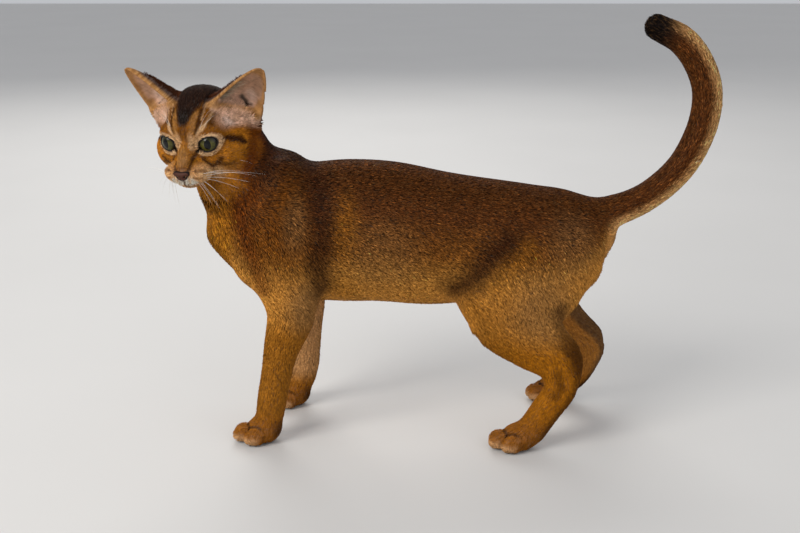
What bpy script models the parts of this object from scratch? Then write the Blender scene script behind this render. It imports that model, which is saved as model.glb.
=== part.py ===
"""A young ticked shorthair cat, standing with its head turned to its left and its tail raised in a hook.

The cat faces -X, its left side faces -Y, and it stands on Z = 0. The coat's outline is the outline
of the solids. Every mass is a loft or a ball from the named sizes below; the masses are fused into
one body, thinned, and cut by thin plates into the parts that a person would name.
"""

import math

import bmesh
import bpy
import numpy as np
from mathutils import Matrix, Vector
from mathutils.bvhtree import BVHTree

MM = 0.001
# The cat is laid out round its shoulders and hips, then moved so that its box is centred.
ORIGIN_X = 17.2
ORIGIN_Y = 0.0

# Fusing, thinning and cutting.
VOXEL = 2.2 * MM
SMOOTH_STEPS = 4
SMOOTH_FACTOR = 0.5
BROAD_STEPS = 40
BODY_TRIANGLES = 3900
GAP = 0.3 * MM
RING_SIDES = 32
BALL_AROUND = 16
BALL_RINGS = 10
RINGS_PER_SPAN = 5
CAP_RINGS = 4
CUT_TRIES = 6
# A shell of fewer corners than this is a crumb that a cut left.
LEAST_CORNERS = 20
CUT_NUDGE = Vector((0.013, 0.009, 0.017)) * MM
CAP_BULGE = 0.8
FLOOR_HALF = 400.0
FLOOR_DEEP = 10.0
# Where the broad masses flow together: above the legs, before the tail, behind the face and below the jaw.
BROAD_ABOVE = (62.0, 30.0)
BROAD_BEFORE = (158.0, 12.0)
BROAD_BEHIND_FACE = (-36.0, 10.0)
BROAD_BELOW_JAW = (-37.0, 8.0)

# The head's own axes: forward along the nose, left, and up, from the point between the eyes.
HEAD_AT = Vector((-148.5, -32.1, 224.7)) * MM
HEAD_YAW = math.radians(18.0)
HEAD_PITCH = math.radians(9.9)
HEAD_ROLL = math.radians(1.8)

# Trunk stations: place along the body, height, half width, half height.
TRUNK = (
    (-131.5, 156.0, 14.0, 15.5),
    (-122.0, 155.0, 22.0, 22.0),
    (-108.0, 153.0, 29.0, 33.5),
    (-86.0, 152.0, 35.0, 47.0),
    (-55.0, 153.3, 38.5, 53.2),
    (-15.0, 153.4, 41.0, 53.6),
    (25.0, 148.2, 40.0, 51.1),
    (60.0, 147.8, 38.0, 46.2),
    (95.0, 148.0, 35.5, 43.0),
    (122.0, 150.5, 31.0, 36.5),
    (141.0, 155.0, 23.0, 26.0),
    (151.0, 160.0, 13.0, 16.0),
)
# Neck stations: x, y, height, half depth, half width.
NECK = (
    (-90.0, 0.0, 168.0, 42.0, 32.0),
    (-106.0, 0.0, 179.0, 38.0, 31.0),
    (-117.0, 1.0, 193.0, 33.0, 30.0),
    (-123.0, 2.0, 208.0, 29.5, 29.0),
    (-128.0, 4.0, 222.0, 25.0, 26.0),
)
# Tail stations: x, y, height, half thickness both ways.
TAIL = (
    (136.0, 0.0, 163.0, 14.5),
    (152.0, 0.0, 167.0, 13.0),
    (164.0, 0.0, 171.0, 11.8),
    (176.0, 0.0, 176.5, 11.2),
    (192.0, 0.0, 188.0, 11.0),
    (204.5, 0.0, 201.5, 11.0),
    (213.5, 0.0, 218.0, 11.1),
    (219.5, 0.0, 239.0, 11.1),
    (219.5, 0.0, 257.5, 11.0),
    (212.5, 0.0, 276.0, 10.9),
    (200.0, 0.0, 291.5, 10.6),
    (182.5, 0.0, 301.0, 9.6),
)
# Leg stations: x, y, height, half fore-and-aft, half width.
LEFT_FORELEG = (
    (-92.0, -24.0, 168.0, 25.0, 17.0),
    (-87.0, -27.0, 135.0, 26.0, 16.0),
    (-79.0, -29.5, 106.0, 21.5, 14.0),
    (-87.5, -31.0, 71.0, 13.6, 11.0),
    (-92.5, -32.0, 47.0, 11.6, 10.0),
    (-96.0, -33.0, 27.0, 10.8, 10.2),
    (-98.0, -33.0, 14.0, 9.8, 10.5),
)
RIGHT_FORELEG = (
    (-90.0, 24.0, 168.0, 25.0, 17.0),
    (-82.0, 27.0, 135.0, 23.0, 16.0),
    (-74.0, 29.0, 104.0, 18.0, 14.0),
    (-74.0, 32.0, 70.0, 13.2, 11.0),
    (-74.5, 33.5, 47.0, 11.2, 10.0),
    (-77.0, 34.0, 27.0, 10.2, 10.2),
    (-82.0, 34.0, 14.0, 9.5, 10.5),
)
LEFT_HINDLEG = (
    (110.0, -20.0, 152.0, 37.0, 18.0),
    (88.0, -27.0, 126.0, 50.0, 17.5),
    (82.5, -33.0, 102.5, 42.0, 15.0),
    (98.0, -37.0, 81.0, 27.0, 13.0),
    (117.5, -40.0, 64.0, 17.5, 10.5),
    (117.5, -42.0, 45.0, 12.4, 9.8),
    (107.0, -44.0, 29.0, 11.2, 9.8),
    (97.5, -45.0, 14.0, 10.8, 10.5),
)
RIGHT_HINDLEG = (
    (110.0, 20.0, 152.0, 36.0, 18.0),
    (100.0, 27.0, 122.0, 42.0, 17.0),
    (108.0, 32.0, 98.0, 29.0, 15.0),
    (128.0, 32.0, 74.0, 18.5, 12.5),
    (149.0, 30.0, 52.0, 13.5, 10.0),
    (147.0, 33.0, 37.0, 11.0, 9.8),
    (140.0, 38.0, 22.0, 10.0, 9.8),
    (131.0, 42.0, 12.0, 9.2, 10.5),
)
# Paws: toe point x, y, heading turned out from straight ahead (degrees).
PAWS = (
    ("front_left", -107.5, -33.5, 4.0),
    ("front_right", -91.0, 35.0, -8.0),
    ("hind_left", 82.5, -46.5, 6.0),
    ("hind_right", 120.0, 46.0, -12.0),
)
# The paw's pad: how far behind the toe point, its height and half sizes; and its four toes.
PAD_BEHIND = 3.5
PAD_HEIGHT = 8.6
PAD_RADII = (15.0, 12.3, 10.5)
TOE_AHEAD = 9.0
TOE_CURVE = 1.6
TOE_HEIGHT = 5.6
TOE_RADII = (9.0, 4.9, 6.6)
TOE_SPREAD = 6.6

# Single masses of the head in its axes: place, half sizes, and degrees that the front tips down.
HEAD_MASSES = {
    "skull": ((-30.0, 0.0, 4.8), (29.0, 27.5, 28.0), 6.0),
    "forehead": ((-14.0, 0.0, 6.5), (17.5, 18.0, 18.0), 8.0),
    "face": ((-15.0, 0.0, -9.0), (19.0, 22.0, 16.0), 12.0),
    "bridge": ((2.0, 0.0, -9.5), (9.5, 5.8, 13.0), -48.0),
    "muzzle": ((4.2, 0.0, -19.4), (12.0, 11.5, 8.8), 8.0),
    "chin": ((4.8, 0.0, -27.4), (9.6, 8.4, 5.9), 0.0),
    "throat": ((-22.0, 0.0, -19.0), (19.0, 18.0, 13.0), 0.0),
}
# Masses that the head has on both sides; the left one is given.
PAIRED_HEAD_MASSES = {
    "nape": ((-43.0, 10.0, -7.0), (17.0, 15.0, 16.0), 0.0),
    "cheek": ((-21.0, 18.0, -10.0), (18.0, 16.5, 16.0), 10.0),
    "brow": ((-11.0, 14.5, 4.0), (11.5, 10.5, 9.0), 0.0),
    "whisker_pad": ((6.0, 8.2, -20.2), (9.6, 9.3, 7.7), 0.0),
    "ear_root": ((-35.5, 25.5, 8.5), (12.5, 15.5, 15.5), 0.0),
}
# Masses of the body: place, half sizes, and degrees that the top leans to the tail.
BODY_MASSES = {
    "scruff": ((-113.5, 3.0, 213.0), (16.5, 23.0, 24.0), 0.0),
    "withers": ((-89.0, 0.0, 196.5), (25.0, 19.0, 20.0), 0.0),
}
PAIRED_BODY_MASSES = {
    "blade": ((-88.0, 18.0, 169.0), (24.0, 19.5, 44.0), 6.0),
    "shoulder": ((-100.0, 22.0, 142.0), (23.0, 17.0, 28.0), 20.0),
    "buttock": ((129.5, 20.0, 135.0), (21.0, 16.0, 28.0), 0.0),
    "flank": ((53.0, 29.0, 108.0), (24.0, 12.0, 20.0), -30.0),
}

# Ears in the head's axes: the two feet of the opening's rim, and the tip.
EAR_INNER = Vector((-15.0, 12.0, 20.0))
EAR_OUTER = Vector((-34.0, 42.0, 8.0))
EAR_TIP = Vector((-22.8, 53.3, 46.6))
EAR_CUP = 15.0
EAR_TAPER = 0.66
EAR_REACH = 0.985
EAR_BURIED = 0.16
EAR_THICK = 1.5
EAR_ROWS = 9
EAR_COLUMNS = 8

# Eyes: the ball, its centre in the head's axes, and the opening between the lids.
EYE_CENTRE = (-8.2, 13.8, -0.8)
EYE_RADIUS = 9.0
LID_RADIUS = 10.9
OPENING = (11.0, 8.4, 6.0)
OPENING_AHEAD = 8.0
OPENING_SLANT = math.radians(22.0)
GAZE_OUT = math.radians(16.0)

# Nose leather: its centre and half sizes in the head's axes.
NOSE_AT = (14.6, 0.0, -19.2)
NOSE_RADII = (3.6, 5.1, 3.8)

# Cuts between parts: a place on each, the way it faces, and half its side. All are thin plates.
CUTS = (
    ("elbow_left", (-81.0, -32.0, 92.0), (0.15, 0.0, 1.0), 25.0),
    ("elbow_right", (-74.0, 32.0, 92.0), (0.0, 0.0, 1.0), 25.0),
    ("neck_base", (-104.0, 0.0, 180.0), (-0.68, 0.0, 0.73), 62.0),
    ("behind_shoulder", (-46.0, 0.0, 150.0), (1.0, 0.0, 0.0), 72.0),
    ("loins", (18.0, 0.0, 150.0), (1.0, 0.0, 0.0), 72.0),
    ("wrist_left", (-96.0, -33.0, 25.0), (0.1, 0.0, 1.0), 18.0),
    ("wrist_right", (-78.0, 34.0, 25.0), (0.2, 0.0, 1.0), 18.0),
    ("knee_left", (93.0, -35.0, 85.0), (-0.25, 0.0, 0.97), 40.0),
    ("knee_right", (113.0, 33.0, 92.0), (-0.5, 0.0, 0.86), 42.0),
    ("hock_left", (116.0, -42.0, 46.0), (0.37, 0.0, 0.93), 22.0),
    ("hock_right", (147.0, 32.0, 42.0), (0.3, 0.0, 0.95), 20.0),
    ("tail_root", (154.0, 0.0, 167.0), (0.95, 0.0, 0.3), 25.0),
    ("tail_first", (198.0, 0.0, 194.5), (0.7, 0.0, 0.71), 20.0),
    ("tail_second", (219.5, 0.0, 245.0), (0.05, 0.0, 1.0), 20.0),
    ("tail_third", (202.0, 0.0, 289.5), (-0.65, 0.0, 0.76), 18.0),
)
HEAD_CUT = (-32.0, 0.0, -15.5)
HEAD_CUT_FACING = (0.571, 0.0, 0.82)
HEAD_CUT_HALF = 45.0
# Each thigh leaves the hips along a slanting plate, from the groin out over the hip.
THIGH_GROIN = (0.0, 88.0)
THIGH_TOP = (54.0, 152.0)
THIGH_MIDDLE = 90.0
THIGH_HALF = 74.0

# A place inside each part, by which it gets its name; and its coat.
PARTS = {
    "head": ((-140.0, -8.0, 228.0), "crown"),
    "neck": ((-121.0, 0.0, 198.0), "shoulder"),
    "chest": ((-84.0, 0.0, 155.0), "shoulder"),
    "belly": ((-14.0, 0.0, 152.0), "flank"),
    "hips": ((85.0, 0.0, 150.0), "flank"),
    "foreleg_left": ((-88.0, -31.0, 62.0), "leg"),
    "foreleg_right": ((-74.0, 32.0, 62.0), "leg"),
    "forepaw_left": ((-106.0, -33.0, 10.0), "leg"),
    "forepaw_right": ((-90.0, 34.0, 10.0), "leg"),
    "thigh_left": ((85.0, -35.0, 108.0), "flank"),
    "thigh_right": ((95.0, 33.0, 112.0), "flank"),
    "shank_left": ((108.0, -38.0, 68.0), "leg"),
    "shank_right": ((132.0, 32.0, 68.0), "leg"),
    "hindpaw_left": ((96.0, -45.0, 16.0), "leg"),
    "hindpaw_right": ((131.0, 41.0, 16.0), "leg"),
    "tail_root": ((176.0, 0.0, 178.0), "flank"),
    "tail_low": ((214.0, 0.0, 220.0), "flank"),
    "tail_high": ((215.0, 0.0, 267.0), "flank"),
    "tail_tip": ((190.0, 0.0, 298.0), "tip"),
}
# Base colour and roughness of each coat and finish.
FINISHES = {
    "crown": ((0.20, 0.10, 0.045, 1.0), 0.8),
    "shoulder": ((0.24, 0.12, 0.05, 1.0), 0.8),
    "flank": ((0.18, 0.10, 0.05, 1.0), 0.8),
    "leg": ((0.36, 0.18, 0.06, 1.0), 0.8),
    "tip": ((0.02, 0.015, 0.012, 1.0), 0.8),
    "ear": ((0.45, 0.30, 0.20, 1.0), 0.7),
    "eye": ((0.20, 0.24, 0.10, 1.0), 0.08),
    "leather": ((0.10, 0.04, 0.03, 1.0), 0.45),
}


def head_axes():
    """Forward, left and up of the head as unit vectors."""
    forward = Vector((-math.sin(HEAD_YAW), -math.cos(HEAD_YAW), 0.0))
    left = Vector((math.cos(HEAD_YAW), -math.sin(HEAD_YAW), 0.0))
    up = Vector((0.0, 0.0, 1.0))
    nose = forward * math.cos(HEAD_PITCH) - up * math.sin(HEAD_PITCH)
    top = up * math.cos(HEAD_PITCH) + forward * math.sin(HEAD_PITCH)
    side = left * math.cos(HEAD_ROLL) + top * math.sin(HEAD_ROLL)
    crown = top * math.cos(HEAD_ROLL) - left * math.sin(HEAD_ROLL)
    return nose, side, crown


NOSE, SIDE, CROWN = head_axes()


def on_head(forward, left, up):
    """A place on the head, from millimetres along its axes."""
    return HEAD_AT + (NOSE * forward + SIDE * left + CROWN * up) * MM


def curve_through(stations, per_span):
    """The stations joined by a smooth curve, every column alike."""
    rows = np.array(stations, float)
    steps = np.linalg.norm(np.diff(rows[:, :3], axis=0), axis=1)
    at = np.concatenate([[0.0], np.cumsum(steps)])
    slope = np.gradient(rows, at, axis=0)
    fine = np.linspace(0.0, 1.0, per_span + 1)[:-1]
    out = []
    for i in range(len(rows) - 1):
        t = fine[:, None]
        span = at[i + 1] - at[i]
        out.append(
            (2 * t**3 - 3 * t**2 + 1) * rows[i]
            + (t**3 - 2 * t**2 + t) * span * slope[i]
            + (3 * t**2 - 2 * t**3) * rows[i + 1]
            + (t**3 - t**2) * span * slope[i + 1]
        )
    out.append(rows[-1:])
    return np.concatenate(out)


def cap_ring(place, outward, half, angle):
    """One ring of a loft's rounded end."""
    return place + outward * half.min() * math.sin(angle) * CAP_BULGE, outward, half * math.cos(angle)


def loft(name, stations, across=(0.0, 1.0, 0.0)):
    """A closed loft of ellipses; stations are x, y, z, half depth, half width in millimetres."""
    rows = curve_through(stations, RINGS_PER_SPAN)
    centre = rows[:, :3]
    tangent = np.gradient(centre, axis=0)
    tangent /= np.linalg.norm(tangent, axis=1)[:, None]
    turn = np.linspace(0.0, math.pi / 2, CAP_RINGS + 1)[1:-1]
    start = [cap_ring(centre[0], -tangent[0], rows[0, 3:], a) for a in turn[::-1]]
    start = [(place, -along, half) for place, along, half in start]
    end = [cap_ring(centre[-1], tangent[-1], rows[-1, 3:], a) for a in turn]
    middle = [(centre[i], tangent[i], rows[i, 3:]) for i in range(len(rows))]
    angle = np.linspace(0.0, 2 * math.pi, RING_SIDES, endpoint=False)
    bm = bmesh.new()
    rings = []
    for place, along, half in start + middle + end:
        wide = np.array(across) - along * np.dot(across, along)
        wide /= np.linalg.norm(wide)
        deep = np.cross(along, wide)
        ring = place + np.outer(np.cos(angle), deep * half[0]) + np.outer(np.sin(angle), wide * half[1])
        rings.append([bm.verts.new(p * MM) for p in ring])
    for low, high in zip(rings, rings[1:]):
        for k in range(RING_SIDES):
            j = (k + 1) % RING_SIDES
            bm.faces.new((low[k], low[j], high[j], high[k]))
    bm.faces.new(rings[0][::-1])
    bm.faces.new(rings[-1])
    bmesh.ops.recalc_face_normals(bm, faces=bm.faces)
    return mesh_object(name, bm)


def mesh_object(name, bm):
    """A new object holding this mesh."""
    mesh = bpy.data.meshes.new(name)
    bm.to_mesh(mesh)
    bm.free()
    piece = bpy.data.objects.new(name, mesh)
    bpy.context.scene.collection.objects.link(piece)
    return piece


def ball(name, centre, axes, radii):
    """An ellipsoid whose three half sizes, in millimetres, lie along the given axes."""
    bm = bmesh.new()
    bmesh.ops.create_uvsphere(bm, u_segments=BALL_AROUND, v_segments=BALL_RINGS, radius=1.0)
    frame = Matrix([list(a * r * MM) for a, r in zip(axes, radii)]).transposed().to_4x4()
    frame.translation = centre
    bm.transform(frame)
    bmesh.ops.recalc_face_normals(bm, faces=bm.faces)
    return mesh_object(name, bm)


def head_ball(name, place, radii, lean=0.0):
    """An ellipsoid in the head's axes; lean tips its front down, in degrees."""
    a = math.radians(lean)
    front = NOSE * math.cos(a) - CROWN * math.sin(a)
    top = CROWN * math.cos(a) + NOSE * math.sin(a)
    return ball(name, on_head(*place), (front, SIDE, top), radii)


WORLD = (Vector((1, 0, 0)), Vector((0, 1, 0)), Vector((0, 0, 1)))


def body_ball(name, place, radii, lean=0.0):
    """An ellipsoid in the body's axes; lean turns its top towards the tail, in degrees."""
    a = math.radians(lean)
    along = WORLD[0] * math.cos(a) - WORLD[2] * math.sin(a)
    top = WORLD[2] * math.cos(a) + WORLD[0] * math.sin(a)
    return ball(name, Vector(place) * MM, (along, WORLD[1], top), radii)


def both_sides(place):
    """A place and its mirror image across the middle."""
    x, y, z = place
    return (x, y, z), (x, -y, z)


def head_masses():
    """Skull, cheeks, brows, bridge, muzzle, chin, ear roots and lids."""
    pieces = [head_ball(name, *sizes) for name, sizes in HEAD_MASSES.items()]
    for name, (place, radii, lean) in PAIRED_HEAD_MASSES.items():
        pieces.extend(head_ball(name, spot, radii, lean) for spot in both_sides(place))
    pieces.extend(head_ball("lid", spot, (LID_RADIUS,) * 3) for spot in both_sides(EYE_CENTRE))
    return pieces


def body_masses():
    """Trunk, neck, tail and legs as lofts, with the shoulders, withers, flanks and buttocks."""
    pieces = [loft("trunk", [(x, 0.0, z, high, wide) for x, z, wide, high in TRUNK])]
    pieces.append(loft("neck", NECK))
    pieces.append(loft("tail", [(x, y, z, r, r) for x, y, z, r in TAIL]))
    pieces.extend(loft("leg", leg) for leg in (LEFT_FORELEG, RIGHT_FORELEG, LEFT_HINDLEG, RIGHT_HINDLEG))
    pieces.extend(body_ball(name, *sizes) for name, sizes in BODY_MASSES.items())
    for name, (place, radii, lean) in PAIRED_BODY_MASSES.items():
        pieces.extend(body_ball(name, spot, radii, lean) for spot in both_sides(place))
    return pieces


def paw_masses(name, x, y, turn):
    """A paw of a pad and four toes, heading -X and turned out by some degrees."""
    a = math.radians(turn)
    front = Vector((-math.cos(a), math.sin(a), 0.0))
    side = Vector((-math.sin(a), -math.cos(a), 0.0))
    up = Vector((0.0, 0.0, 1.0))
    centre = Vector((x, y, 0.0)) * MM
    pad = centre - front * PAD_BEHIND * MM + up * PAD_HEIGHT * MM
    pieces = [ball(name, pad, (front, side, up), PAD_RADII)]
    for out in (-1.5, -0.5, 0.5, 1.5):
        reach = TOE_AHEAD - TOE_CURVE * out * out
        place = centre + front * reach * MM + side * out * TOE_SPREAD * MM + up * TOE_HEIGHT * MM
        pieces.append(ball(name, place, (front, side, up), TOE_RADII))
    return pieces


def fuse(pieces, name):
    """Every piece in one skin: joined, wrapped again, softened and thinned."""
    for other in bpy.context.selected_objects:
        other.select_set(False)
    for piece in pieces:
        piece.select_set(True)
    body = pieces[0]
    bpy.context.view_layer.objects.active = body
    bpy.ops.object.join()
    body.name = name
    wrap = body.modifiers.new("wrap", "REMESH")
    wrap.mode = "VOXEL"
    wrap.voxel_size = VOXEL
    bake(body)
    broad = body.vertex_groups.new(name="broad")
    for corner in body.data.vertices:
        share = broad_share(corner.co)
        if share > 0.0:
            broad.add([corner.index], share, "REPLACE")
    flow = body.modifiers.new("flow", "SMOOTH")
    flow.factor = SMOOTH_FACTOR
    flow.iterations = BROAD_STEPS
    flow.vertex_group = "broad"
    soft = body.modifiers.new("soft", "SMOOTH")
    soft.factor = SMOOTH_FACTOR
    soft.iterations = SMOOTH_STEPS
    bake(body)
    return body


def broad_share(place):
    """How far the broad masses of trunk, neck and thighs are smoothed together at a place, 0 to 1."""
    above_legs = (place.z / MM - BROAD_ABOVE[0]) / BROAD_ABOVE[1]
    before_tail = (BROAD_BEFORE[0] - place.x / MM) / BROAD_BEFORE[1]
    from_brow = (place - HEAD_AT) / MM
    behind_face = (BROAD_BEHIND_FACE[0] - from_brow.dot(NOSE)) / BROAD_BEHIND_FACE[1]
    below_jaw = (BROAD_BELOW_JAW[0] - from_brow.dot(CROWN)) / BROAD_BELOW_JAW[1]
    return max(0.0, min(1.0, above_legs, max(behind_face, below_jaw), before_tail))


def bake(piece):
    """The piece's modifiers worked into its mesh."""
    mesh = bpy.data.meshes.new_from_object(piece.evaluated_get(bpy.context.evaluated_depsgraph_get()))
    old = piece.data
    piece.modifiers.clear()
    piece.data = mesh
    bpy.data.meshes.remove(old)


def start_empty():
    """Removes whatever the file held."""
    for piece in list(bpy.data.objects):
        bpy.data.objects.remove(piece, do_unlink=True)


def ear(name, side):
    """A cupped ear: half-oval sections from the buried root to the tip, thickened."""
    flip = Vector((1.0, side, 1.0))
    inner = EAR_INNER * flip
    outer = EAR_OUTER * flip
    tip = EAR_TIP * flip
    middle = (inner + outer) / 2
    facing = (outer - inner).cross(tip - middle).normalized() * side
    bm = bmesh.new()
    rows = []
    for i in range(EAR_ROWS + 1):
        rise = -EAR_BURIED + (EAR_REACH + EAR_BURIED) * math.sin(math.pi / 2 * i / EAR_ROWS)
        left = max(1.0 - rise, 0.0) ** EAR_TAPER
        centre = middle.lerp(tip, rise)
        half = (outer - inner) / 2 * left
        row = []
        for k in range(EAR_COLUMNS + 1):
            turn = math.pi * (k / EAR_COLUMNS - 0.5)
            place = centre + half * math.sin(turn) - facing * EAR_CUP * left * math.cos(turn)
            row.append(bm.verts.new(on_head(*place)))
        rows.append(row)
    for low, high in zip(rows, rows[1:]):
        for k in range(EAR_COLUMNS):
            bm.faces.new((low[k], low[k + 1], high[k + 1], high[k]))
    piece = mesh_object(name, bm)
    shell = piece.modifiers.new("shell", "SOLIDIFY")
    shell.thickness = EAR_THICK * MM
    shell.offset = 0.0
    shell.use_even_offset = True
    bake(piece)
    return piece


def volume(mesh):
    """The room inside a closed mesh."""
    bm = bmesh.new()
    bm.from_mesh(mesh)
    room = bm.calc_volume(signed=True)
    bm.free()
    return room


def subtract(piece, cutter):
    """Takes the cutter's room out of the piece; a cut that fails is moved by a hair and made again."""
    before = volume(piece.data)
    most = volume(cutter.data)
    whole = piece.data.copy()
    for _ in range(CUT_TRIES):
        cut = piece.modifiers.new("cut", "BOOLEAN")
        cut.operation = "DIFFERENCE"
        cut.solver = "EXACT"
        cut.object = cutter
        bake(piece)
        if before - most * 1.01 <= volume(piece.data) < before:
            break
        piece.data = whole.copy()
        cutter.data.transform(Matrix.Translation(CUT_NUDGE))


def gaze_axes(side):
    """Forward, left and up of one eye, turned out and slanted as the lids are."""
    forward = NOSE * math.cos(GAZE_OUT) + SIDE * side * math.sin(GAZE_OUT)
    across = SIDE * math.cos(GAZE_OUT) - NOSE * side * math.sin(GAZE_OUT)
    tilt = OPENING_SLANT * side
    wide = across * math.cos(tilt) + CROWN * math.sin(tilt)
    tall = CROWN * math.cos(tilt) - across * math.sin(tilt)
    return forward, wide, tall


def triangles(piece):
    """How many triangles the piece has."""
    piece.data.calc_loop_triangles()
    return len(piece.data.loop_triangles)


def as_cutter(piece):
    """Keeps a cutter out of sight, in the cutters' collection."""
    for home in list(piece.users_collection):
        home.objects.unlink(piece)
    CUTTERS.objects.link(piece)
    piece.hide_render = True
    piece.display_type = "WIRE"
    return piece


def grown_copy(piece):
    """A cutter the shape of the piece, grown by the gap."""
    grown = piece.copy()
    grown.data = piece.data.copy()
    grown.name = "grown_body"
    bpy.context.scene.collection.objects.link(grown)
    swell = grown.modifiers.new("swell", "DISPLACE")
    swell.strength = GAP
    swell.mid_level = 0.0
    bake(grown)
    return as_cutter(grown)


def plate(name, centre, facing, half, thick):
    """A square plate; half its side and its thickness are in millimetres."""
    facing = facing.normalized()
    first = facing.cross(Vector((0.0, 1.0, 0.0))).normalized()
    second = facing.cross(first)
    return as_cutter(slab(name, centre, (first, second, facing), (half, half, thick / 2)))


def thigh_plate(name, side):
    """The slanting plate between the hips and one thigh."""
    groin = Vector((THIGH_MIDDLE, side * THIGH_GROIN[0], THIGH_GROIN[1]))
    top = Vector((THIGH_MIDDLE, side * THIGH_TOP[0], THIGH_TOP[1]))
    out = (top - groin).normalized()
    along = Vector((1.0, 0.0, 0.0))
    sizes = (THIGH_HALF, (top - groin).length / 2, GAP / MM / 2)
    return as_cutter(slab(name, (groin + top) / 2 * MM, (along, out, along.cross(out)), sizes))


def slab(name, centre, axes, halves):
    """A box from its centre, axes and half sizes in millimetres."""
    bm = bmesh.new()
    bmesh.ops.create_cube(bm, size=2.0)
    frame = Matrix([list(a * h * MM) for a, h in zip(axes, halves)]).transposed().to_4x4()
    frame.translation = centre
    bm.transform(frame)
    return mesh_object(name, bm)


def islands(piece):
    """The piece's separate shells, as lists of vertex indices, largest first."""
    links = [[] for _ in piece.data.vertices]
    for edge in piece.data.edges:
        a, b = edge.vertices
        links[a].append(b)
        links[b].append(a)
    seen = [False] * len(links)
    found = []
    for start in range(len(links)):
        if seen[start]:
            continue
        seen[start] = True
        shell = [start]
        for i in shell:
            for j in links[i]:
                if not seen[j]:
                    seen[j] = True
                    shell.append(j)
        found.append(shell)
    return sorted(found, key=len, reverse=True)


def keep_only(piece, shell):
    """Removes all but one shell from the piece."""
    bm = bmesh.new()
    bm.from_mesh(piece.data)
    bm.verts.ensure_lookup_table()
    kept = set(shell)
    extra = [v for v in bm.verts if v.index not in kept]
    bmesh.ops.delete(bm, geom=extra, context="VERTS")
    bm.to_mesh(piece.data)
    bm.free()


def keep_largest(piece):
    """Drops the crumbs that a cut left behind."""
    keep_only(piece, islands(piece)[0])


def meets(piece, cutter):
    """Whether a cutter's faces cross the piece's."""
    trees = []
    for thing in (piece, cutter):
        bm = bmesh.new()
        bm.from_mesh(thing.data)
        trees.append(BVHTree.FromBMesh(bm))
        bm.free()
    return bool(trees[0].overlap(trees[1]))


def parted(piece, cutter):
    """What a plate makes of a piece: one piece for each shell, or the piece itself where it misses."""
    if not meets(piece, cutter):
        return [piece]
    subtract(piece, cutter)
    shells = []
    for shell in islands(piece):
        if len(shell) >= LEAST_CORNERS:
            part = piece.copy()
            part.data = piece.data.copy()
            bpy.context.scene.collection.objects.link(part)
            keep_only(part, shell)
            shells.append(part)
    bpy.data.objects.remove(piece, do_unlink=True)
    return shells


def named(pieces):
    """Gives each part of the list the piece whose middle is nearest to its place."""
    middles = {}
    for piece in pieces:
        corners = [v.co for v in piece.data.vertices]
        middles[piece] = sum(corners, Vector()) / len(corners)
    found = {}
    for name, (place, _) in PARTS.items():
        nearest = min(middles, key=lambda piece: (middles[piece] - Vector(place) * MM).length)
        nearest.name = name
        found[name] = nearest
    return found


def finish(piece, coat):
    """Names the mesh, gives the part its material and puts it in the cat's collection."""
    for home in list(piece.users_collection):
        home.objects.unlink(piece)
    CAT.objects.link(piece)
    piece.vertex_groups.clear()
    piece.data.transform(Matrix.Translation(Vector((-ORIGIN_X, -ORIGIN_Y, 0.0)) * MM))
    piece.data.name = piece.name
    paint = bpy.data.materials.new(piece.name + "_" + coat)
    paint.use_nodes = True
    base = paint.node_tree.nodes["Principled BSDF"]
    base.inputs["Base Color"].default_value = FINISHES[coat][0]
    base.inputs["Roughness"].default_value = FINISHES[coat][1]
    piece.data.materials.clear()
    piece.data.materials.append(paint)


def thinned_body():
    """Every mass fused in one skin and thinned to the triangles it may have."""
    masses = head_masses() + body_masses()
    for paw in PAWS:
        masses.extend(paw_masses(*paw))
    whole = fuse(masses, "body")
    thin = whole.modifiers.new("thin", "DECIMATE")
    thin.ratio = min(1.0, BODY_TRIANGLES / triangles(whole))
    bake(whole)
    return whole


def cut_eye(whole, side, hand):
    """Cuts one eye's socket and the opening between its lids; returns the eyeball."""
    x, y, z = EYE_CENTRE
    centre = on_head(x, side * y, z)
    axes = gaze_axes(side)
    poles_ahead = (axes[1], axes[2], axes[0])
    socket = ball("socket_" + hand, centre, poles_ahead, (EYE_RADIUS + GAP / MM,) * 3)
    subtract(whole, as_cutter(socket))
    opening = ball("opening_" + hand, centre + axes[0] * OPENING_AHEAD * MM, axes, OPENING)
    subtract(whole, as_cutter(opening))
    return ball("eye_" + hand, centre, poles_ahead, (EYE_RADIUS,) * 3)


def cut_ear(grown_body, side, hand):
    """One ear, cut away where it would lie inside the head."""
    pinna = ear("ear_" + hand, side)
    subtract(pinna, grown_body)
    keep_largest(pinna)
    return pinna


def cut_nose(whole):
    """Cuts the bed of the nose leather; returns the leather."""
    bed = [half + GAP / MM for half in NOSE_RADII]
    subtract(whole, as_cutter(ball("nose_bed", on_head(*NOSE_AT), (NOSE, SIDE, CROWN), bed)))
    return ball("nose", on_head(*NOSE_AT), (NOSE, SIDE, CROWN), NOSE_RADII)


def cut_parts(whole):
    """Parts the body with thin plates: head and thighs first, then every cut of the list."""
    facing = NOSE * HEAD_CUT_FACING[0] + CROWN * HEAD_CUT_FACING[2]
    plates = [plate("cut_head", on_head(*HEAD_CUT), facing, HEAD_CUT_HALF, GAP / MM)]
    plates.extend(thigh_plate("cut_thigh_" + hand, side) for side, hand in ((-1.0, "left"), (1.0, "right")))
    for name, place, way, half in CUTS:
        plates.append(plate("cut_" + name, Vector(place) * MM, Vector(way), half, GAP / MM))
    pieces = [whole]
    for cutter in plates:
        pieces = [part for piece in pieces for part in parted(piece, cutter)]
    return named(pieces)


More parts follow.
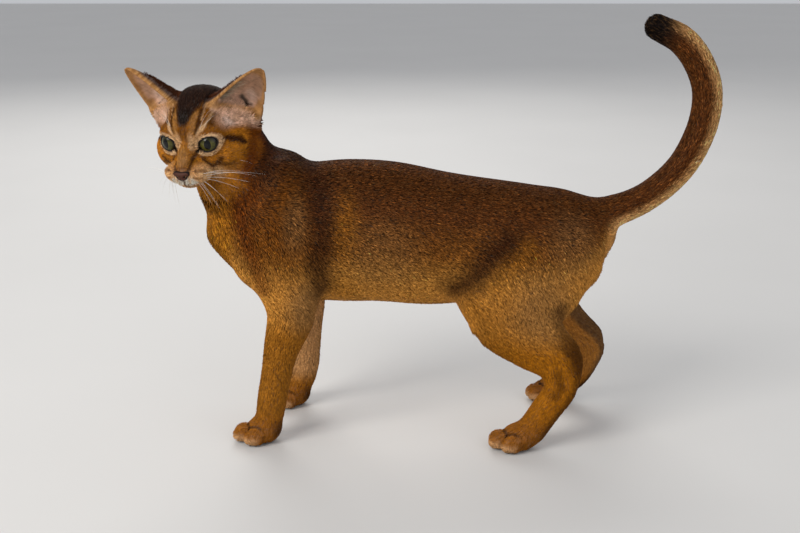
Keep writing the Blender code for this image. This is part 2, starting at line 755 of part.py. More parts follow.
def build_cat():
    """Builds every part, from the fused body to the finished pieces."""
    whole = thinned_body()
    grown_body = grown_copy(whole)
    below = Vector((0.0, 0.0, -FLOOR_DEEP / 2)) * MM
    subtract(whole, plate("below_floor", below, WORLD[2], FLOOR_HALF, FLOOR_DEEP))
    for side, hand in ((1.0, "left"), (-1.0, "right")):
        finish(cut_eye(whole, side, hand), "eye")
        finish(cut_ear(grown_body, side, hand), "ear")
    finish(cut_nose(whole), "leather")
    for name, part in cut_parts(whole).items():
        finish(part, PARTS[name][1])


start_empty()
CAT = bpy.data.collections.new("cat")
CUTTERS = bpy.data.collections.new("cutters")
bpy.context.scene.collection.children.link(CAT)
bpy.context.scene.collection.children.link(CUTTERS)
build_cat()
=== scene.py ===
"""A young ticked shorthair cat: its skin, coat, eyes, nose and whiskers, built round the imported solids.

The skin is the level surface of one smooth field, made of the same named masses as the solids and
drawn in by the depth of the coat. Tufts of short fur lie over it and reach the solids' outline.
Lengths are millimetres along the body's axes until a mesh is written.
"""

import logging
import math
from collections.abc import Callable, Iterator, Mapping, Sequence
from dataclasses import dataclass, field
from enum import Enum
from typing import Any

import bpy
import numpy as np
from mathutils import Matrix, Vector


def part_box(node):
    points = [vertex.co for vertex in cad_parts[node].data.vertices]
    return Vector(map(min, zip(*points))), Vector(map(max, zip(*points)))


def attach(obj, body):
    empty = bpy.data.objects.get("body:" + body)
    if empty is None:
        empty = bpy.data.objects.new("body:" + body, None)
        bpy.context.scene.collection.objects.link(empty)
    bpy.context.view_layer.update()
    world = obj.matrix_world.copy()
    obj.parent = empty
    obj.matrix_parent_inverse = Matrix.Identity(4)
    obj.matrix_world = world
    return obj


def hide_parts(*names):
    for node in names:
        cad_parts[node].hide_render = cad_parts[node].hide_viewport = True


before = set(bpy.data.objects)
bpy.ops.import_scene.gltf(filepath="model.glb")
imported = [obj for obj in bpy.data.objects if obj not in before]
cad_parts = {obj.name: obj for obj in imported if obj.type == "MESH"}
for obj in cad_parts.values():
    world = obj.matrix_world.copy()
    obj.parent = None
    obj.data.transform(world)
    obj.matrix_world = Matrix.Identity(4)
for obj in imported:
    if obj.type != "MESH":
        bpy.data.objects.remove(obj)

LOG = logging.getLogger("cat")
Array = np.ndarray
Triple = tuple[float, float, float]
Rows = tuple[tuple[float, ...], ...]
MassRows = tuple[tuple[Any, ...], ...]
MM = 0.001
# The named sizes count from between shoulders and hips; the model's origin is this far along X.
ORIGIN = np.array([17.2, 0, 0])
SIDES = {"left": 1, "right": -1}
# The field's value far from every mass, and how far round a mass it is worked out.
FAR = 60
REACH = 14
# The head as a ball in its own axes: its middle, and the radius out to which pieces count as the head.
HEAD_MIDDLE = (-18, 0, 0)
HEAD_EDGE = 47
# What stands above this height behind the hips is tail.
TAIL_HEIGHT = 140
# Millimetres to the whole width of the unwrap.
MAP_SPAN = 480


# ------------------------------ Plain numbers


def unit(way: Array) -> Array:
    """The same way with length one, row by row."""
    way = np.asarray(way, float)
    return way / np.maximum(np.linalg.norm(way, axis=-1, keepdims=True), 1e-9)


def lengths(way: Array) -> Array:
    """The length of each row."""
    return np.linalg.norm(way, axis=1)


def ease(value: Array, low: float, high: float) -> Array:
    """Rises smoothly from 0 at low to 1 at high; low may be the greater."""
    share = np.clip((value - low) / (high - low), 0, 1)
    return share * share * (3 - 2 * share)


def soft_min(first: Array, second: Array, blend: float) -> Array:
    """The lesser of two fields, with the corner between them rounded over the width blend."""
    near = np.maximum(blend - np.abs(first - second), 0)
    return np.minimum(first, second) - near * near * (0.25 / blend)


def soft_max(first: Array, second: Array, blend: float) -> Array:
    """The greater of two fields, with the corner between them rounded over the width blend."""
    return -soft_min(-first, -second, blend)


def mixed(first: Array, second: Array, share: Array) -> Array:
    """The first, with the second mixed in by each place's share."""
    return first + (second - first) * (share[:, None] if first.ndim == 2 else share)


def softened(share: Array, soft: float) -> Array:
    """1 inside an edge and 0 outside it, where share is 1 at the edge and soft is the edge's width."""
    return ease(share, 1 + soft / 2, 1 - soft / 2)


def oval(local: Sequence[Array], radii: Sequence[Any]) -> Array:
    """Near an oval, how far outside a place is: k(k - 1) over the length of the gradient of k."""
    k = np.sqrt(sum((q / r) ** 2 for q, r in zip(local, radii)))
    steep = np.sqrt(sum((q / r**2) ** 2 for q, r in zip(local, radii)))
    return k * (k - 1) / np.maximum(steep, 1e-6)


def around(lines: int) -> Array:
    """Evenly spaced angles round a full turn."""
    return np.arange(lines) * (2 * math.pi / lines)


def to_model(points: Array) -> Array:
    """Places in the body's millimetres as the model's metres."""
    return (np.asarray(points, float) - ORIGIN) * MM


def from_model(points: Array) -> Array:
    """Places in the model's metres as the body's millimetres."""
    return np.asarray(points, float) / MM + ORIGIN


def middle_of(node: str) -> Array:
    """The middle of a solid's box, in the body's millimetres."""
    low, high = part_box(node)
    return from_model((np.array(low) + np.array(high)) / 2)


@dataclass(frozen=True)
class Axes:
    """A place and three unit vectors that leave it: forward, left and up."""

    origin: Array
    rows: Array

    def place(self, local: Array) -> Array:
        """A place given along these axes, in the body's axes."""
        return self.origin + np.asarray(local, float) @ self.rows

    def local(self, points: Array) -> Array:
        """Places in the body's axes, given along these."""
        return (np.asarray(points, float) - self.origin) @ self.rows.T

    def spread(self, x: Array, y: Array, z: Array) -> tuple[Array, Array, Array]:
        """The three local coordinates over a grid given by its axes."""
        dx, dy, dz = x - self.origin[0], y - self.origin[1], z - self.origin[2]
        return tuple(dx * r[0] + dy * r[1] + dz * r[2] for r in self.rows)


def head_axes() -> Axes:
    """The head's axes: turned to the cat's left, tipped down and a little to one side."""
    yaw, pitch, roll = (math.radians(a) for a in (18, 9.9, 1.8))
    forward = np.array([-math.sin(yaw), -math.cos(yaw), 0])
    left = np.array([math.cos(yaw), -math.sin(yaw), 0])
    up = np.array([0, 0, 1])
    nose = forward * math.cos(pitch) - up * math.sin(pitch)
    top = up * math.cos(pitch) + forward * math.sin(pitch)
    side = left * math.cos(roll) + top * math.sin(roll)
    crown = top * math.cos(roll) - left * math.sin(roll)
    return Axes(np.array([-148.5, -32.1, 224.7]), np.array([nose, side, crown]))


HEAD = head_axes()
BODY = Axes(np.zeros(3), np.eye(3))


def head_reach(local: Array) -> Array:
    """How far places in the head's axes lie from its middle."""
    return lengths(local - HEAD_MIDDLE)


# ------------------------------ The field and the masses that fill it


@dataclass(frozen=True)
class Ball:
    """An ellipsoid: its middle, three unit axes and half sizes, and how widely it blends."""

    middle: Array
    rows: Array
    radii: Array
    blend: float

    def box(self) -> tuple[Array, Array]:
        """Lowest and highest corners."""
        half = np.sqrt(((self.rows * self.radii[:, None]) ** 2).sum(axis=0))
        return self.middle - half, self.middle + half

    def distance(self, x: Array, y: Array, z: Array) -> Array:
        """How far outside its surface each place of a grid is."""
        return oval(Axes(self.middle, self.rows).spread(x, y, z), self.radii)


def leaning(axes: Axes, place: Sequence[float], radii: Sequence[float], lean: float, blend: float) -> Ball:
    """A ball in some axes whose front tips down, and so whose top goes forward, by lean degrees."""
    a = math.radians(lean)
    front = axes.rows[0] * math.cos(a) - axes.rows[2] * math.sin(a)
    top = axes.rows[2] * math.cos(a) + axes.rows[0] * math.sin(a)
    return Ball(axes.place(place), np.array([front, axes.rows[1], top]), np.array(radii, float), blend)


def balls(axes: Axes, single: Sequence[tuple], paired: Sequence[tuple]) -> list[Ball]:
    """Balls from rows of place, half sizes, lean and blend; each paired row gives a left and a right one."""
    out = [leaning(axes, *sizes) for sizes in single]
    for (f, s, u), *sizes in paired:
        out += [leaning(axes, (f, s * side, u), *sizes) for side in SIDES.values()]
    return out


def hermite(stations: Array, per_span: int) -> Array:
    """A smooth curve through the rows: cubic pieces whose slopes are those of the rows' neighbours."""
    rows = np.asarray(stations, float)
    at = np.concatenate([[0], np.cumsum(lengths(np.diff(rows[:, :3], axis=0)))])
    slope = np.gradient(rows, at, axis=0)
    fine = np.linspace(0, len(rows) - 1, per_span * (len(rows) - 1) + 1)
    i = np.minimum(fine.astype(int), len(rows) - 2)
    t = (fine - i)[:, None]
    span = (at[i + 1] - at[i])[:, None]
    return (
        (2 * t**3 - 3 * t**2 + 1) * rows[i]
        + (t**3 - 2 * t**2 + t) * span * slope[i]
        + (3 * t**2 - 2 * t**3) * rows[i + 1]
        + (t**3 - t**2) * span * slope[i + 1]
    )


@dataclass(frozen=True)
class Loft:
    """A limb or trunk: oval sections along a smooth line; stations are x, y, z, half depth, half width."""

    stations: Rows
    blend: float
    per_span: int = 4

    def rows(self) -> Array:
        """The stations joined smoothly."""
        return hermite(np.array(self.stations), self.per_span)

    def box(self) -> tuple[Array, Array]:
        """Lowest and highest corners."""
        rows = self.rows()
        half = rows[:, 3:].max(axis=1, keepdims=True)
        return (rows[:, :3] - half).min(axis=0), (rows[:, :3] + half).max(axis=0)

    def distance(self, x: Array, y: Array, z: Array) -> Array:
        """The least of its spans' distances, each an oval whose size runs from one end to the other."""
        rows = self.rows()
        out = np.full(np.broadcast_shapes(x.shape, y.shape, z.shape), FAR, np.float32)
        axes = (x.ravel(), y.ravel(), z.ravel())
        for low, high in zip(rows, rows[1:]):
            half = max(low[3:].max(), high[3:].max()) + REACH
            corner = np.minimum(low[:3], high[:3]) - half
            other = np.maximum(low[:3], high[:3]) + half
            window = tuple(slice(*np.searchsorted(a, (c, o))) for a, c, o in zip(axes, corner, other))
            part = np.ix_(*(a[w] for a, w in zip(axes, window)))
            if out[window].size:
                out[window] = np.minimum(out[window], self._span(low, high, *part))
        return out

    @staticmethod
    def _span(low: Array, high: Array, x: Array, y: Array, z: Array) -> Array:
        """The distance to one span between two sections."""
        length = np.linalg.norm(high[:3] - low[:3])
        along = (high[:3] - low[:3]) / length
        wide = unit(np.array([0, 1, 0]) - along * along[1])
        deep = np.cross(along, wide)
        w, v, u = Axes(low[:3], np.array([along, wide, deep])).spread(x, y, z)
        t = np.clip(w / length, 0, 1)
        a = low[3] + (high[3] - low[3]) * t
        b = low[4] + (high[4] - low[4]) * t
        c = np.minimum(a, b)
        return oval((u, v, w - t * length), (a, b, c))


def graded(stops: Sequence[tuple[float, float]]) -> Array:
    """Grid places whose spacing runs through the given (place, spacing) stops."""
    at, spacing = np.array(stops, float).T
    fine = np.linspace(at[0], at[-1], 8000)
    count = np.concatenate([[0], np.cumsum(np.diff(fine) / np.interp(fine[1:], at, spacing))])
    return np.interp(np.arange(0, count[-1], 1), count, fine).astype(np.float32)


# A cell's corners as steps along each axis, and the pairs of them that an edge joins.
CORNERS = [(corner & 1, corner >> 1 & 1, corner >> 2 & 1) for corner in range(8)]
EDGES = [(corner, corner | bit) for corner in range(8) for bit in (1, 2, 4) if not corner & bit]


class Field:
    """A grid of distances to the skin, finer at the head and paws: negative inside."""

    def __init__(self, *axes: Array) -> None:
        """An empty field over the grid that the places along the three axes make."""
        self.axes = axes
        self.value = np.full([len(a) for a in axes], FAR, np.float32)

    def window(self, box: tuple[Array, Array], margin: float = REACH) -> tuple[tuple[slice, ...], tuple]:
        """The part of the grid round a box, as slices and as open axes."""
        ends = zip(self.axes, *box)
        cut = tuple(slice(*np.searchsorted(a, (lo - margin, hi + margin))) for a, lo, hi in ends)
        return cut, np.ix_(*(a[c] for a, c in zip(self.axes, cut)))

    def join(self, shape: Ball | Loft) -> None:
        """Adds a mass, rounded into what is there."""
        cut, part = self.window(shape.box())
        self.value[cut] = soft_min(self.value[cut], shape.distance(*part).astype(np.float32), shape.blend)

    def carve(self, shape: Ball) -> None:
        """Takes a mass away, with its edge rounded."""
        cut, part = self.window(shape.box(), 4)
        self.value[cut] = soft_max(self.value[cut], -shape.distance(*part).astype(np.float32), shape.blend)

    def even(self, sigma: float, share: Array) -> None:
        """Rounds creases off: the mean under a bell curve along each axis, mixed in by a share.

        Args:
            sigma: The bell's half width.
            share: How much of the mean each place takes.
        """
        value = self.value
        for k, a in enumerate(self.axes):
            bell = np.exp(-(((a[:, None] - a[None, :]) / sigma) ** 2) / 2) * np.gradient(a)[None, :]
            bell = (bell / bell.sum(axis=1, keepdims=True)).astype(np.float32)
            value = np.moveaxis(np.tensordot(bell, value, axes=(1, k)), 0, k)
        self.value = self.value + (value - self.value) * share.astype(np.float32)

    def sample(self, points: Array) -> Array:
        """The field at any places, between its grid's values."""
        out = 0
        base, share = [], []
        for k, a in enumerate(self.axes):
            i = np.clip(np.searchsorted(a, points[:, k]) - 1, 0, len(a) - 2)
            base.append(i)
            share.append((points[:, k] - a[i]) / (a[i + 1] - a[i]))
        for corner in CORNERS:
            weight = 1
            for bit, part in zip(corner, share):
                weight = weight * (part if bit else 1 - part)
            out = out + weight * self.value[tuple(i + bit for i, bit in zip(base, corner))]
        return out

    def slope(self, points: Array, step: float = 0.5) -> Array:
        """The field's gradient by central differences."""
        out = np.empty_like(points)
        for k in range(3):
            shift = np.zeros(3)
            shift[k] = step
            out[:, k] = (self.sample(points + shift) - self.sample(points - shift)) / (2 * step)
        return out

    def settle(self, points: Array, level: Array | float = 0, rounds: int = 2, most: float = 1) -> Array:
        """Moves places down the gradient until the field there has the given level."""
        for _ in range(rounds):
            slope = self.slope(points)
            steep = np.maximum((slope**2).sum(axis=1), 0.05)
            step = ((self.sample(points) - level) / steep)[:, None] * slope
            size = np.linalg.norm(step, axis=1, keepdims=True)
            points = points - step * np.minimum(1, most / np.maximum(size, 1e-9))
        return points

    def surface(self) -> tuple[Array, Array]:
        """The level surface: one point in each grid cell that it crosses, joined across crossed edges.

        Returns:
            The points and the four-sided faces.
        """
        value = self.value
        inside = value < 0
        count = np.zeros(tuple(n - 1 for n in value.shape), np.uint8)
        for corner in CORNERS:
            count += inside[tuple(slice(b, n - 1 + b) for b, n in zip(corner, value.shape))]
        cells = np.nonzero((count > 0) & (count < 8))
        number = np.full(count.shape, -1, np.int32)
        number[cells] = np.arange(len(cells[0]), dtype=np.int32)
        points = self._cell_points(cells)
        faces = []
        for axis in range(3):
            low, high = [slice(1, -1)] * 3, [slice(1, -1)] * 3
            low[axis], high[axis] = slice(None, -1), slice(1, None)
            crossed = np.nonzero(inside[tuple(low)] != inside[tuple(high)])
            at = [a + (k != axis) for k, a in enumerate(crossed)]
            one, two = (axis + 1) % 3, (axis + 2) % 3
            quad = []
            for back_one, back_two in ((1, 1), (0, 1), (0, 0), (1, 0)):
                cell = list(at)
                cell[one] = at[one] - back_one
                cell[two] = at[two] - back_two
                quad.append(number[tuple(cell)])
            quad = np.stack(quad, axis=1)
            outward = inside[tuple(at)]
            faces.append(np.where(outward[:, None], quad, quad[:, ::-1]))
        return points, np.concatenate(faces)

    def _cell_points(self, cells: tuple[Array, ...]) -> Array:
        """The mean of the places where the surface crosses each cell's edges."""
        values, places = [], []
        for corner in CORNERS:
            index = tuple(c + b for c, b in zip(cells, corner))
            values.append(self.value[index].astype(float))
            places.append(np.stack([a[i] for a, i in zip(self.axes, index)], axis=1).astype(float))
        total = np.zeros((len(cells[0]), 3))
        hits = np.zeros(len(cells[0]))
        for a, b in EDGES:
            crossed = (values[a] < 0) != (values[b] < 0)
            t = values[a] / np.where(crossed, values[a] - values[b], 1)
            total += np.where(crossed[:, None], places[a] + t[:, None] * (places[b] - places[a]), 0)
            hits += crossed
        return total / hits[:, None]


def relaxed(points: Array, faces: Array, field_of: Field, rounds: int) -> Array:
    """Evens out a surface: each point goes half way to its neighbours' mean, then back to the level."""
    start = np.concatenate([faces[:, k] for k in range(4)])
    end = np.concatenate([faces[:, (k + 1) % 4] for k in range(4)])
    one, two = np.concatenate([start, end]), np.concatenate([end, start])
    share = 1 / np.maximum(np.bincount(one, minlength=len(points)), 1)
    for _ in range(rounds):
        mean = np.stack([np.bincount(one, points[two, k], len(points)) * share for k in range(3)], axis=1)
        points = field_of.settle(points + (mean - points) * 0.5, rounds=1)
    return points


# ------------------------------ The body's parts


@dataclass(frozen=True)
class Trunk:
    """The barrel of the body with shoulders, withers, flanks and buttocks."""

    stations: Rows = (
        (-131.5, 156, 14, 15.5), (-122, 155, 22, 22), (-108, 153, 29, 33.5), (-86, 152, 35, 47),
        (-55, 153.3, 38.5, 53.2), (-15, 153.4, 41, 53.6), (25, 148.2, 40, 51.1), (60, 147.8, 38, 46.2),
        (95, 147, 35.5, 42), (122, 149.3, 31, 35.2), (139, 153.8, 20.5, 21.8), (147.5, 159, 10.5, 12.5),
    )
    neck: Rows = (
        (-90, 0, 168, 42, 32), (-106, 0, 179, 38, 31), (-117, 1, 193, 33, 30), (-123, 2, 208, 29.5, 29),
        (-128, 4, 222, 25, 26),
    )
    # Place, half sizes and lean of each single mass, and of the left one of each pair.
    single: MassRows = (
        ((-113.5, 3, 213), (16.5, 23, 24), 0),
        ((-89, 0, 196.5), (25, 19, 20), 0),
    )
    paired: MassRows = (
        ((-88, 18, 169), (24, 19.5, 44), 6),
        ((-100, 22, 142), (23, 17, 28), 20),
        ((128.5, 20, 137), (20, 15.5, 27), 0),
        ((58.5, 29, 106), (24, 12, 17), 42),
    )
    blend: float = 5
    back_end: float = 156

    def masses(self) -> list[Ball | Loft]:
        """The barrel, the neck and the masses that round them off."""
        barrel = tuple((x, 0, z, high, wide) for x, z, wide, high in self.stations)
        single = [(*sizes, self.blend) for sizes in self.single]
        paired = [(*sizes, self.blend) for sizes in self.paired]
        return [Loft(barrel, self.blend), Loft(self.neck, self.blend), *balls(BODY, single, paired)]

    def height_share(self, points: Array) -> Array:
        """How high a place lies on the barrel: -1 at the belly, 1 at the spine."""
        rows = np.array(self.stations)
        middle = np.interp(points[:, 0], rows[:, 0], rows[:, 1])
        half = np.interp(points[:, 0], rows[:, 0], rows[:, 3])
        return (points[:, 2] - middle) / half


@dataclass(frozen=True)
class Leg:
    """A leg and its paw."""

    stations: Rows
    toe: tuple[float, float]
    turn: float
    blend: float = 5
    pad_radii: Triple = (13, 11.8, 10.6)
    pad_behind: float = 5
    pad_height: float = 8.6
    toe_radii: Triple = (8.2, 4.5, 6.8)
    toe_ahead: float = 10.3
    toe_curve: float = 4.6
    toe_height: float = 6
    toe_spread: float = 6.7
    dark_top: float = 16
    dark_share: float = 0.75

    def paw_axes(self) -> Axes:
        """Forward, left and up of the paw, from the floor under its toes."""
        a = math.radians(self.turn)
        rows = np.array([[-math.cos(a), math.sin(a), 0], [-math.sin(a), -math.cos(a), 0], [0, 0, 1]])
        return Axes(np.array([*self.toe, 0]), rows)

    def masses(self) -> list[Ball | Loft]:
        """The leg's loft and the pad of the paw."""
        axes = self.paw_axes()
        pad = leaning(axes, (-self.pad_behind, 0, self.pad_height), self.pad_radii, 0, 5)
        return [Loft(self.stations, self.blend), pad]

    def toe_places(self) -> Array:
        """The middles of the four toes in the paw's axes, the two inner ones furthest ahead."""
        out = np.array([-1.5, -0.5, 0.5, 1.5])
        ahead = self.toe_ahead - self.toe_curve * out * out
        return np.stack([ahead, out * self.toe_spread, np.full(4, self.toe_height)], axis=1)

    def toes(self) -> list[Ball]:
        """The four toes as leaning balls."""
        axes = self.paw_axes()
        return [leaning(axes, tuple(place), self.toe_radii, 8, 0.8) for place in self.toe_places()]

    def between_toes(self, points: Array) -> tuple[Array, Array, Array]:
        """How places lie to the toes: in a gap between two, in the crease above them, on a toe's tip."""
        local = self.paw_axes().local(points)
        away = np.stack([lengths((local - at) / self.toe_radii) for at in self.toe_places()])
        first, second = np.sort(away, axis=0)[:2]
        ahead = ease(local[:, 0], -9, -4)
        gap = ease(second - first, 0.26, 0.06) * ease(first, 1.6, 1.3) * ahead
        crease = ease(first, 1.08, 1.2) * ease(first, 1.6, 1.35) * ease(local[:, 2], 6, 9) * ahead
        tip = ease(first, 1.3, 1.1) * ease(local[:, 2], 9, 5) * (1 - gap) * ease(local[:, 0], -6, 0)
        return gap, crease, tip

    def line(self) -> Array:
        """The leg's smooth middle line, from foot to top."""
        return hermite(np.array(self.stations), 6)[::-1]

    @property
    def fore(self) -> bool:
        """Whether it is a foreleg."""
        return self.toe[0] < 0

    def owns(self, points: Array) -> Array:
        """Whether places lie in this leg's quarter of the body."""
        return ((points[:, 0] < 0) == self.fore) & ((points[:, 1] < 0) == (self.toe[1] < 0))


LEGS = {
    "foreleg_left": Leg((
        (-92, -24, 168, 25, 17), (-87, -27, 135, 26, 16), (-79, -29.5, 106, 21.5, 14),
        (-87.5, -31, 71, 13.6, 11), (-92.5, -32, 47, 11.6, 10), (-96, -33, 27, 10.8, 10.2),
        (-98, -33, 14, 9.8, 10.5),
    ), (-107.5, -33.5), 4),
    "foreleg_right": Leg((
        (-90, 24, 168, 25, 17), (-82, 27, 135, 23, 16), (-74, 29, 104, 18, 14), (-74, 32, 70, 13.2, 11),
        (-74.5, 33.5, 47, 11.2, 10), (-77, 34, 27, 10.2, 10.2), (-82, 34, 14, 9.5, 10.5),
    ), (-91, 35), -8),
    "hindleg_left": Leg((
        (110, -20, 152, 37, 18), (88, -27, 126, 49.5, 17.5), (82, -33, 102.5, 36.5, 15),
        (98.5, -37, 81, 25, 13), (117.5, -40, 64, 17.5, 10.5), (117.5, -42, 45, 12.4, 9.8),
        (107, -44, 29, 11.2, 9.8), (97.5, -45, 14, 10.8, 10.5),
    ), (82.5, -46.5), 6, dark_top=84, dark_share=0.55),
    "hindleg_right": Leg((
        (110, 20, 152, 36, 18), (100, 27, 122, 42, 17), (107.5, 32, 98, 27.5, 15), (128, 32, 74, 18.5, 12.5),
        (149, 30, 52, 13.5, 10), (147, 33, 37, 11, 9.8), (140, 38, 22, 10, 9.8), (131, 42, 12, 9.2, 10.5),
    ), (120, 46), -12, dark_top=96, dark_share=0.85),
}


@dataclass(frozen=True)
class Tail:
    """The tail: raised in a hook whose tip curls forward."""

    stations: Rows = (
        (136, 0, 163, 14.5), (152, 0, 167, 13), (164, 0, 171, 11.8), (176, 0, 176.5, 11.2), (192, 0, 188, 11),
        (204.5, 0, 201.5, 11), (213.5, 0, 218, 11.1), (219.5, 0, 239, 11.1), (219.5, 0, 257.5, 11),
        (212.5, 0, 276, 10.9), (200, 0, 291.5, 10.6), (182.5, 0, 301, 9.6),
    )

    def masses(self) -> list[Loft]:
        """One round loft."""
        return [Loft(tuple((x, y, z, r, r) for x, y, z, r in self.stations), 8, 5)]

    def line(self) -> Array:
        """The tail's smooth middle line and half depth, from root to tip."""
        return hermite(np.array(self.stations), 8)

    def nearest(self, points: Array) -> tuple[Array, Array, Array, Array]:
        """Where each place lies by the tail's line.

        Args:
            points: Places in the body's millimetres.

        Returns:
            The index of the line's nearest step, the way there from it, the line's own way there, and
            the way square to that which points into the hook.
        """
        line = self.line()[:, :3]
        best = np.full(len(points), 1e9)
        at = np.zeros(len(points), int)
        for i, place in enumerate(line):
            gap = ((points - place) ** 2).sum(axis=1)
            closer = gap < best
            best[closer] = gap[closer]
            at[closer] = i
        ahead = unit(np.gradient(line, axis=0)[at])
        return at, points - line[at], ahead, np.stack([-ahead[:, 2], np.zeros(len(at)), ahead[:, 0]], axis=1)


@dataclass(frozen=True)
class Skull:
    """The head's masses in its own axes: place, half sizes, degrees of lean, blend."""

    single: MassRows = (
        ((-30, 0, 4.8), (29, 27.5, 28), 6, 4),
        ((-14, 0, 6.5), (17.5, 18, 18), 8, 4),
        ((-15, 0, -9), (19, 22, 16), 12, 3),
        ((2, 0, -9.5), (9.5, 5.8, 13), -48, 3.5),
        ((4.2, 0, -19.4), (12, 11.5, 8.8), 8, 2.5),
        ((4.8, 0, -27.4), (9.6, 8.4, 5.9), 0, 2),
        ((-22, 0, -19), (19, 18, 13), 0, 4),
    )
    paired: MassRows = (
        ((-43, 10, -7), (17, 15, 16), 0, 5),
        ((-21, 18, -10), (18, 16.5, 16), 10, 4),
        ((-11, 14.5, 4), (11.5, 10.5, 9), 0, 2.5),
        ((5.4, 8.8, -20.6), (10, 9.3, 7.9), 0, 3),
        ((-35.5, 25.5, 8.5), (12.5, 15.5, 15.5), 0, 4),
    )

    def masses(self) -> list[Ball]:
        """Skull, forehead, face, bridge, muzzle, chin, throat, and the pairs beside them."""
        return balls(HEAD, self.single, self.paired)


@dataclass(frozen=True)
class EyeSet:
    """One eye's place and the opening between its lids."""

    hand: str
    ball: float = 8.9
    lid: float = 10.7
    gaze_out: float = 16
    slant: float = 22
    half_wide: float = 6.9
    half_tall: float = 4.8
    ahead: float = 8
    deep: float = 11
    lid_reach: float = 14
    corner: Triple = (6.6, 3, 1.5)

    @property
    def side(self) -> float:
        """1 on the cat's left, -1 on its right."""
        return SIDES[self.hand]

    def axes(self) -> Axes:
        """Forward, across and up of the eye, turned out and slanted as the lids are."""
        a = math.radians(self.gaze_out)
        tilt = math.radians(self.slant) * self.side
        forward = HEAD.rows[0] * math.cos(a) + HEAD.rows[1] * self.side * math.sin(a)
        across = HEAD.rows[1] * math.cos(a) - HEAD.rows[0] * self.side * math.sin(a)
        wide = across * math.cos(tilt) + HEAD.rows[2] * math.sin(tilt)
        tall = HEAD.rows[2] * math.cos(tilt) - across * math.sin(tilt)
        return Axes(middle_of("eye_" + self.hand), np.array([forward, wide, tall]))

    def ring(self, wide: Array, tall: Array) -> Array:
        """How far from the middle of the opening a place is seen, as a share of the opening's size."""
        return np.sqrt((wide / self.half_wide) ** 2 + (tall / self.half_tall) ** 2)

    def lid_mass(self) -> Ball:
        """The lids, wrapped round the eyeball."""
        axes = self.axes()
        return Ball(axes.origin, axes.rows, np.full(3, self.lid), 2)

    def hollows(self) -> list[Ball]:
        """The socket, the opening, and the opening's point towards the nose."""
        axes = self.axes()
        inner, reach, low = self.corner
        places = ((0, 0, 0), (self.ahead, 0, 0), (self.ahead, -inner * self.side, -0.6))
        socket = self.ball + 0.15
        sizes = ((socket,) * 3, (self.deep, self.half_wide, self.half_tall), (self.deep, reach, low))
        blends = (0.5, 1.2, 1)
        return [Ball(axes.place(p), axes.rows, np.array(s), b) for p, s, b in zip(places, sizes, blends)]


EYES = {hand: EyeSet(hand) for hand in SIDES}


@dataclass(frozen=True)
class Ear:
    """A tall cupped ear: half-oval sections that narrow from root to tip."""

    hand: str
    inner: Triple = (-15, 12, 20)
    outer: Triple = (-34, 42, 8)
    tip: Triple = (-22.8, 53.3, 46.6)
    cup: float = 15
    taper: float = 0.6
    thick_root: float = 2.2
    thick_tip: float = 1.9
    rise_mm: float = 42

    def ends(self) -> Array:
        """The opening's inner and outer foot and the ear's tip, in the head's axes."""
        return np.array([self.inner, self.outer, self.tip]) * (1, SIDES[self.hand], 1)

    def frame(self) -> tuple[Array, Array]:
        """The middle of the opening's foot, and a matrix from head axes to across, facing, rise."""
        inner, outer, tip = self.ends()
        middle = (inner + outer) / 2
        across = unit(outer - inner)
        facing = unit(np.cross(outer - inner, tip - middle)) * SIDES[self.hand]
        return middle, np.linalg.inv(np.stack([across, facing, tip - middle], axis=1))

    def half_width(self) -> float:
        """Half the opening's width at its foot."""
        return float(np.linalg.norm(np.array(self.outer) - np.array(self.inner)) / 2)

    def parts(self, f: Array, s: Array, u: Array) -> tuple[Array, Array, Array, Array]:
        """Across, facing and rise of places in the head's axes, and their distance to the oval section."""
        middle, matrix = self.frame()
        df, ds, du = f - middle[0], s - middle[1], u - middle[2]
        a, b, r = (df * m[0] + ds * m[1] + du * m[2] for m in matrix)
        left = np.maximum(1 - r, 0.004) ** self.taper
        wide, deep = self.half_width() * left, self.cup * left
        return a, b, r, oval((a, b), (wide, deep))

    def inside(self, local: Array) -> Array:
        """How far places in the head's axes lie in the bare hollow of the cup, 0 to 1."""
        _, b, r, off = self.parts(*local.T)
        own = np.sign(local[:, 1]) == SIDES[self.hand]
        low = ease(r, -0.24, -0.05) * ease(b, 6, 2)
        return ease(off, 0.9, -0.3) * low * ease(r, 1.05, 0.95) * own

    def box(self) -> tuple[Array, Array]:
        """Corners round the whole ear."""
        points = HEAD.place(self.ends())
        return points.min(axis=0) - 8, points.max(axis=0) + 2

    @staticmethod
    def floor(a: Array, b: Array) -> Array:
        """The hollow's lower end as a rise: it climbs from the temple to the cup's back."""
        return 0.03 - 0.014 * b + 0.0004 * a * a

    def add_to(self, skin: Field) -> None:
        """Fills the root up to a sloping floor, then joins the thin wall of the cup."""
        cut, part = skin.window(self.box(), 4)
        a, b, r, off = self.parts(*HEAD.spread(*part))
        value = skin.value[cut]
        over = (r - self.floor(a, b)) * self.rise_mm
        funnel = np.maximum(np.maximum(off + 1, b + 0.5), -over)
        value = soft_max(value, -funnel, 2)
        plug = np.maximum(np.maximum(off - 0.6, b - 1.5), np.maximum(over, (-0.3 - r) * self.rise_mm))
        value = soft_min(value, plug, 4.5)
        thick = self.thick_root + (self.thick_tip - self.thick_root) * np.clip(r, 0, 1)
        wall = soft_max(np.abs(off) - thick / 2, b, 0.8)
        wall = np.maximum(wall, np.maximum((r - 0.985) * self.rise_mm, (-0.16 - r) * self.rise_mm))
        skin.value[cut] = soft_min(value, wall, 2.5).astype(np.float32)


EARS = {hand: Ear(hand) for hand in SIDES}


def each_ear(local: Array) -> Iterator[tuple[Ear, Array, Array, Array, Array]]:
    """Each ear, with across, facing, rise and distance of places in the head's axes."""
    for ear in EARS.values():
        yield ear, *ear.parts(*local.T)


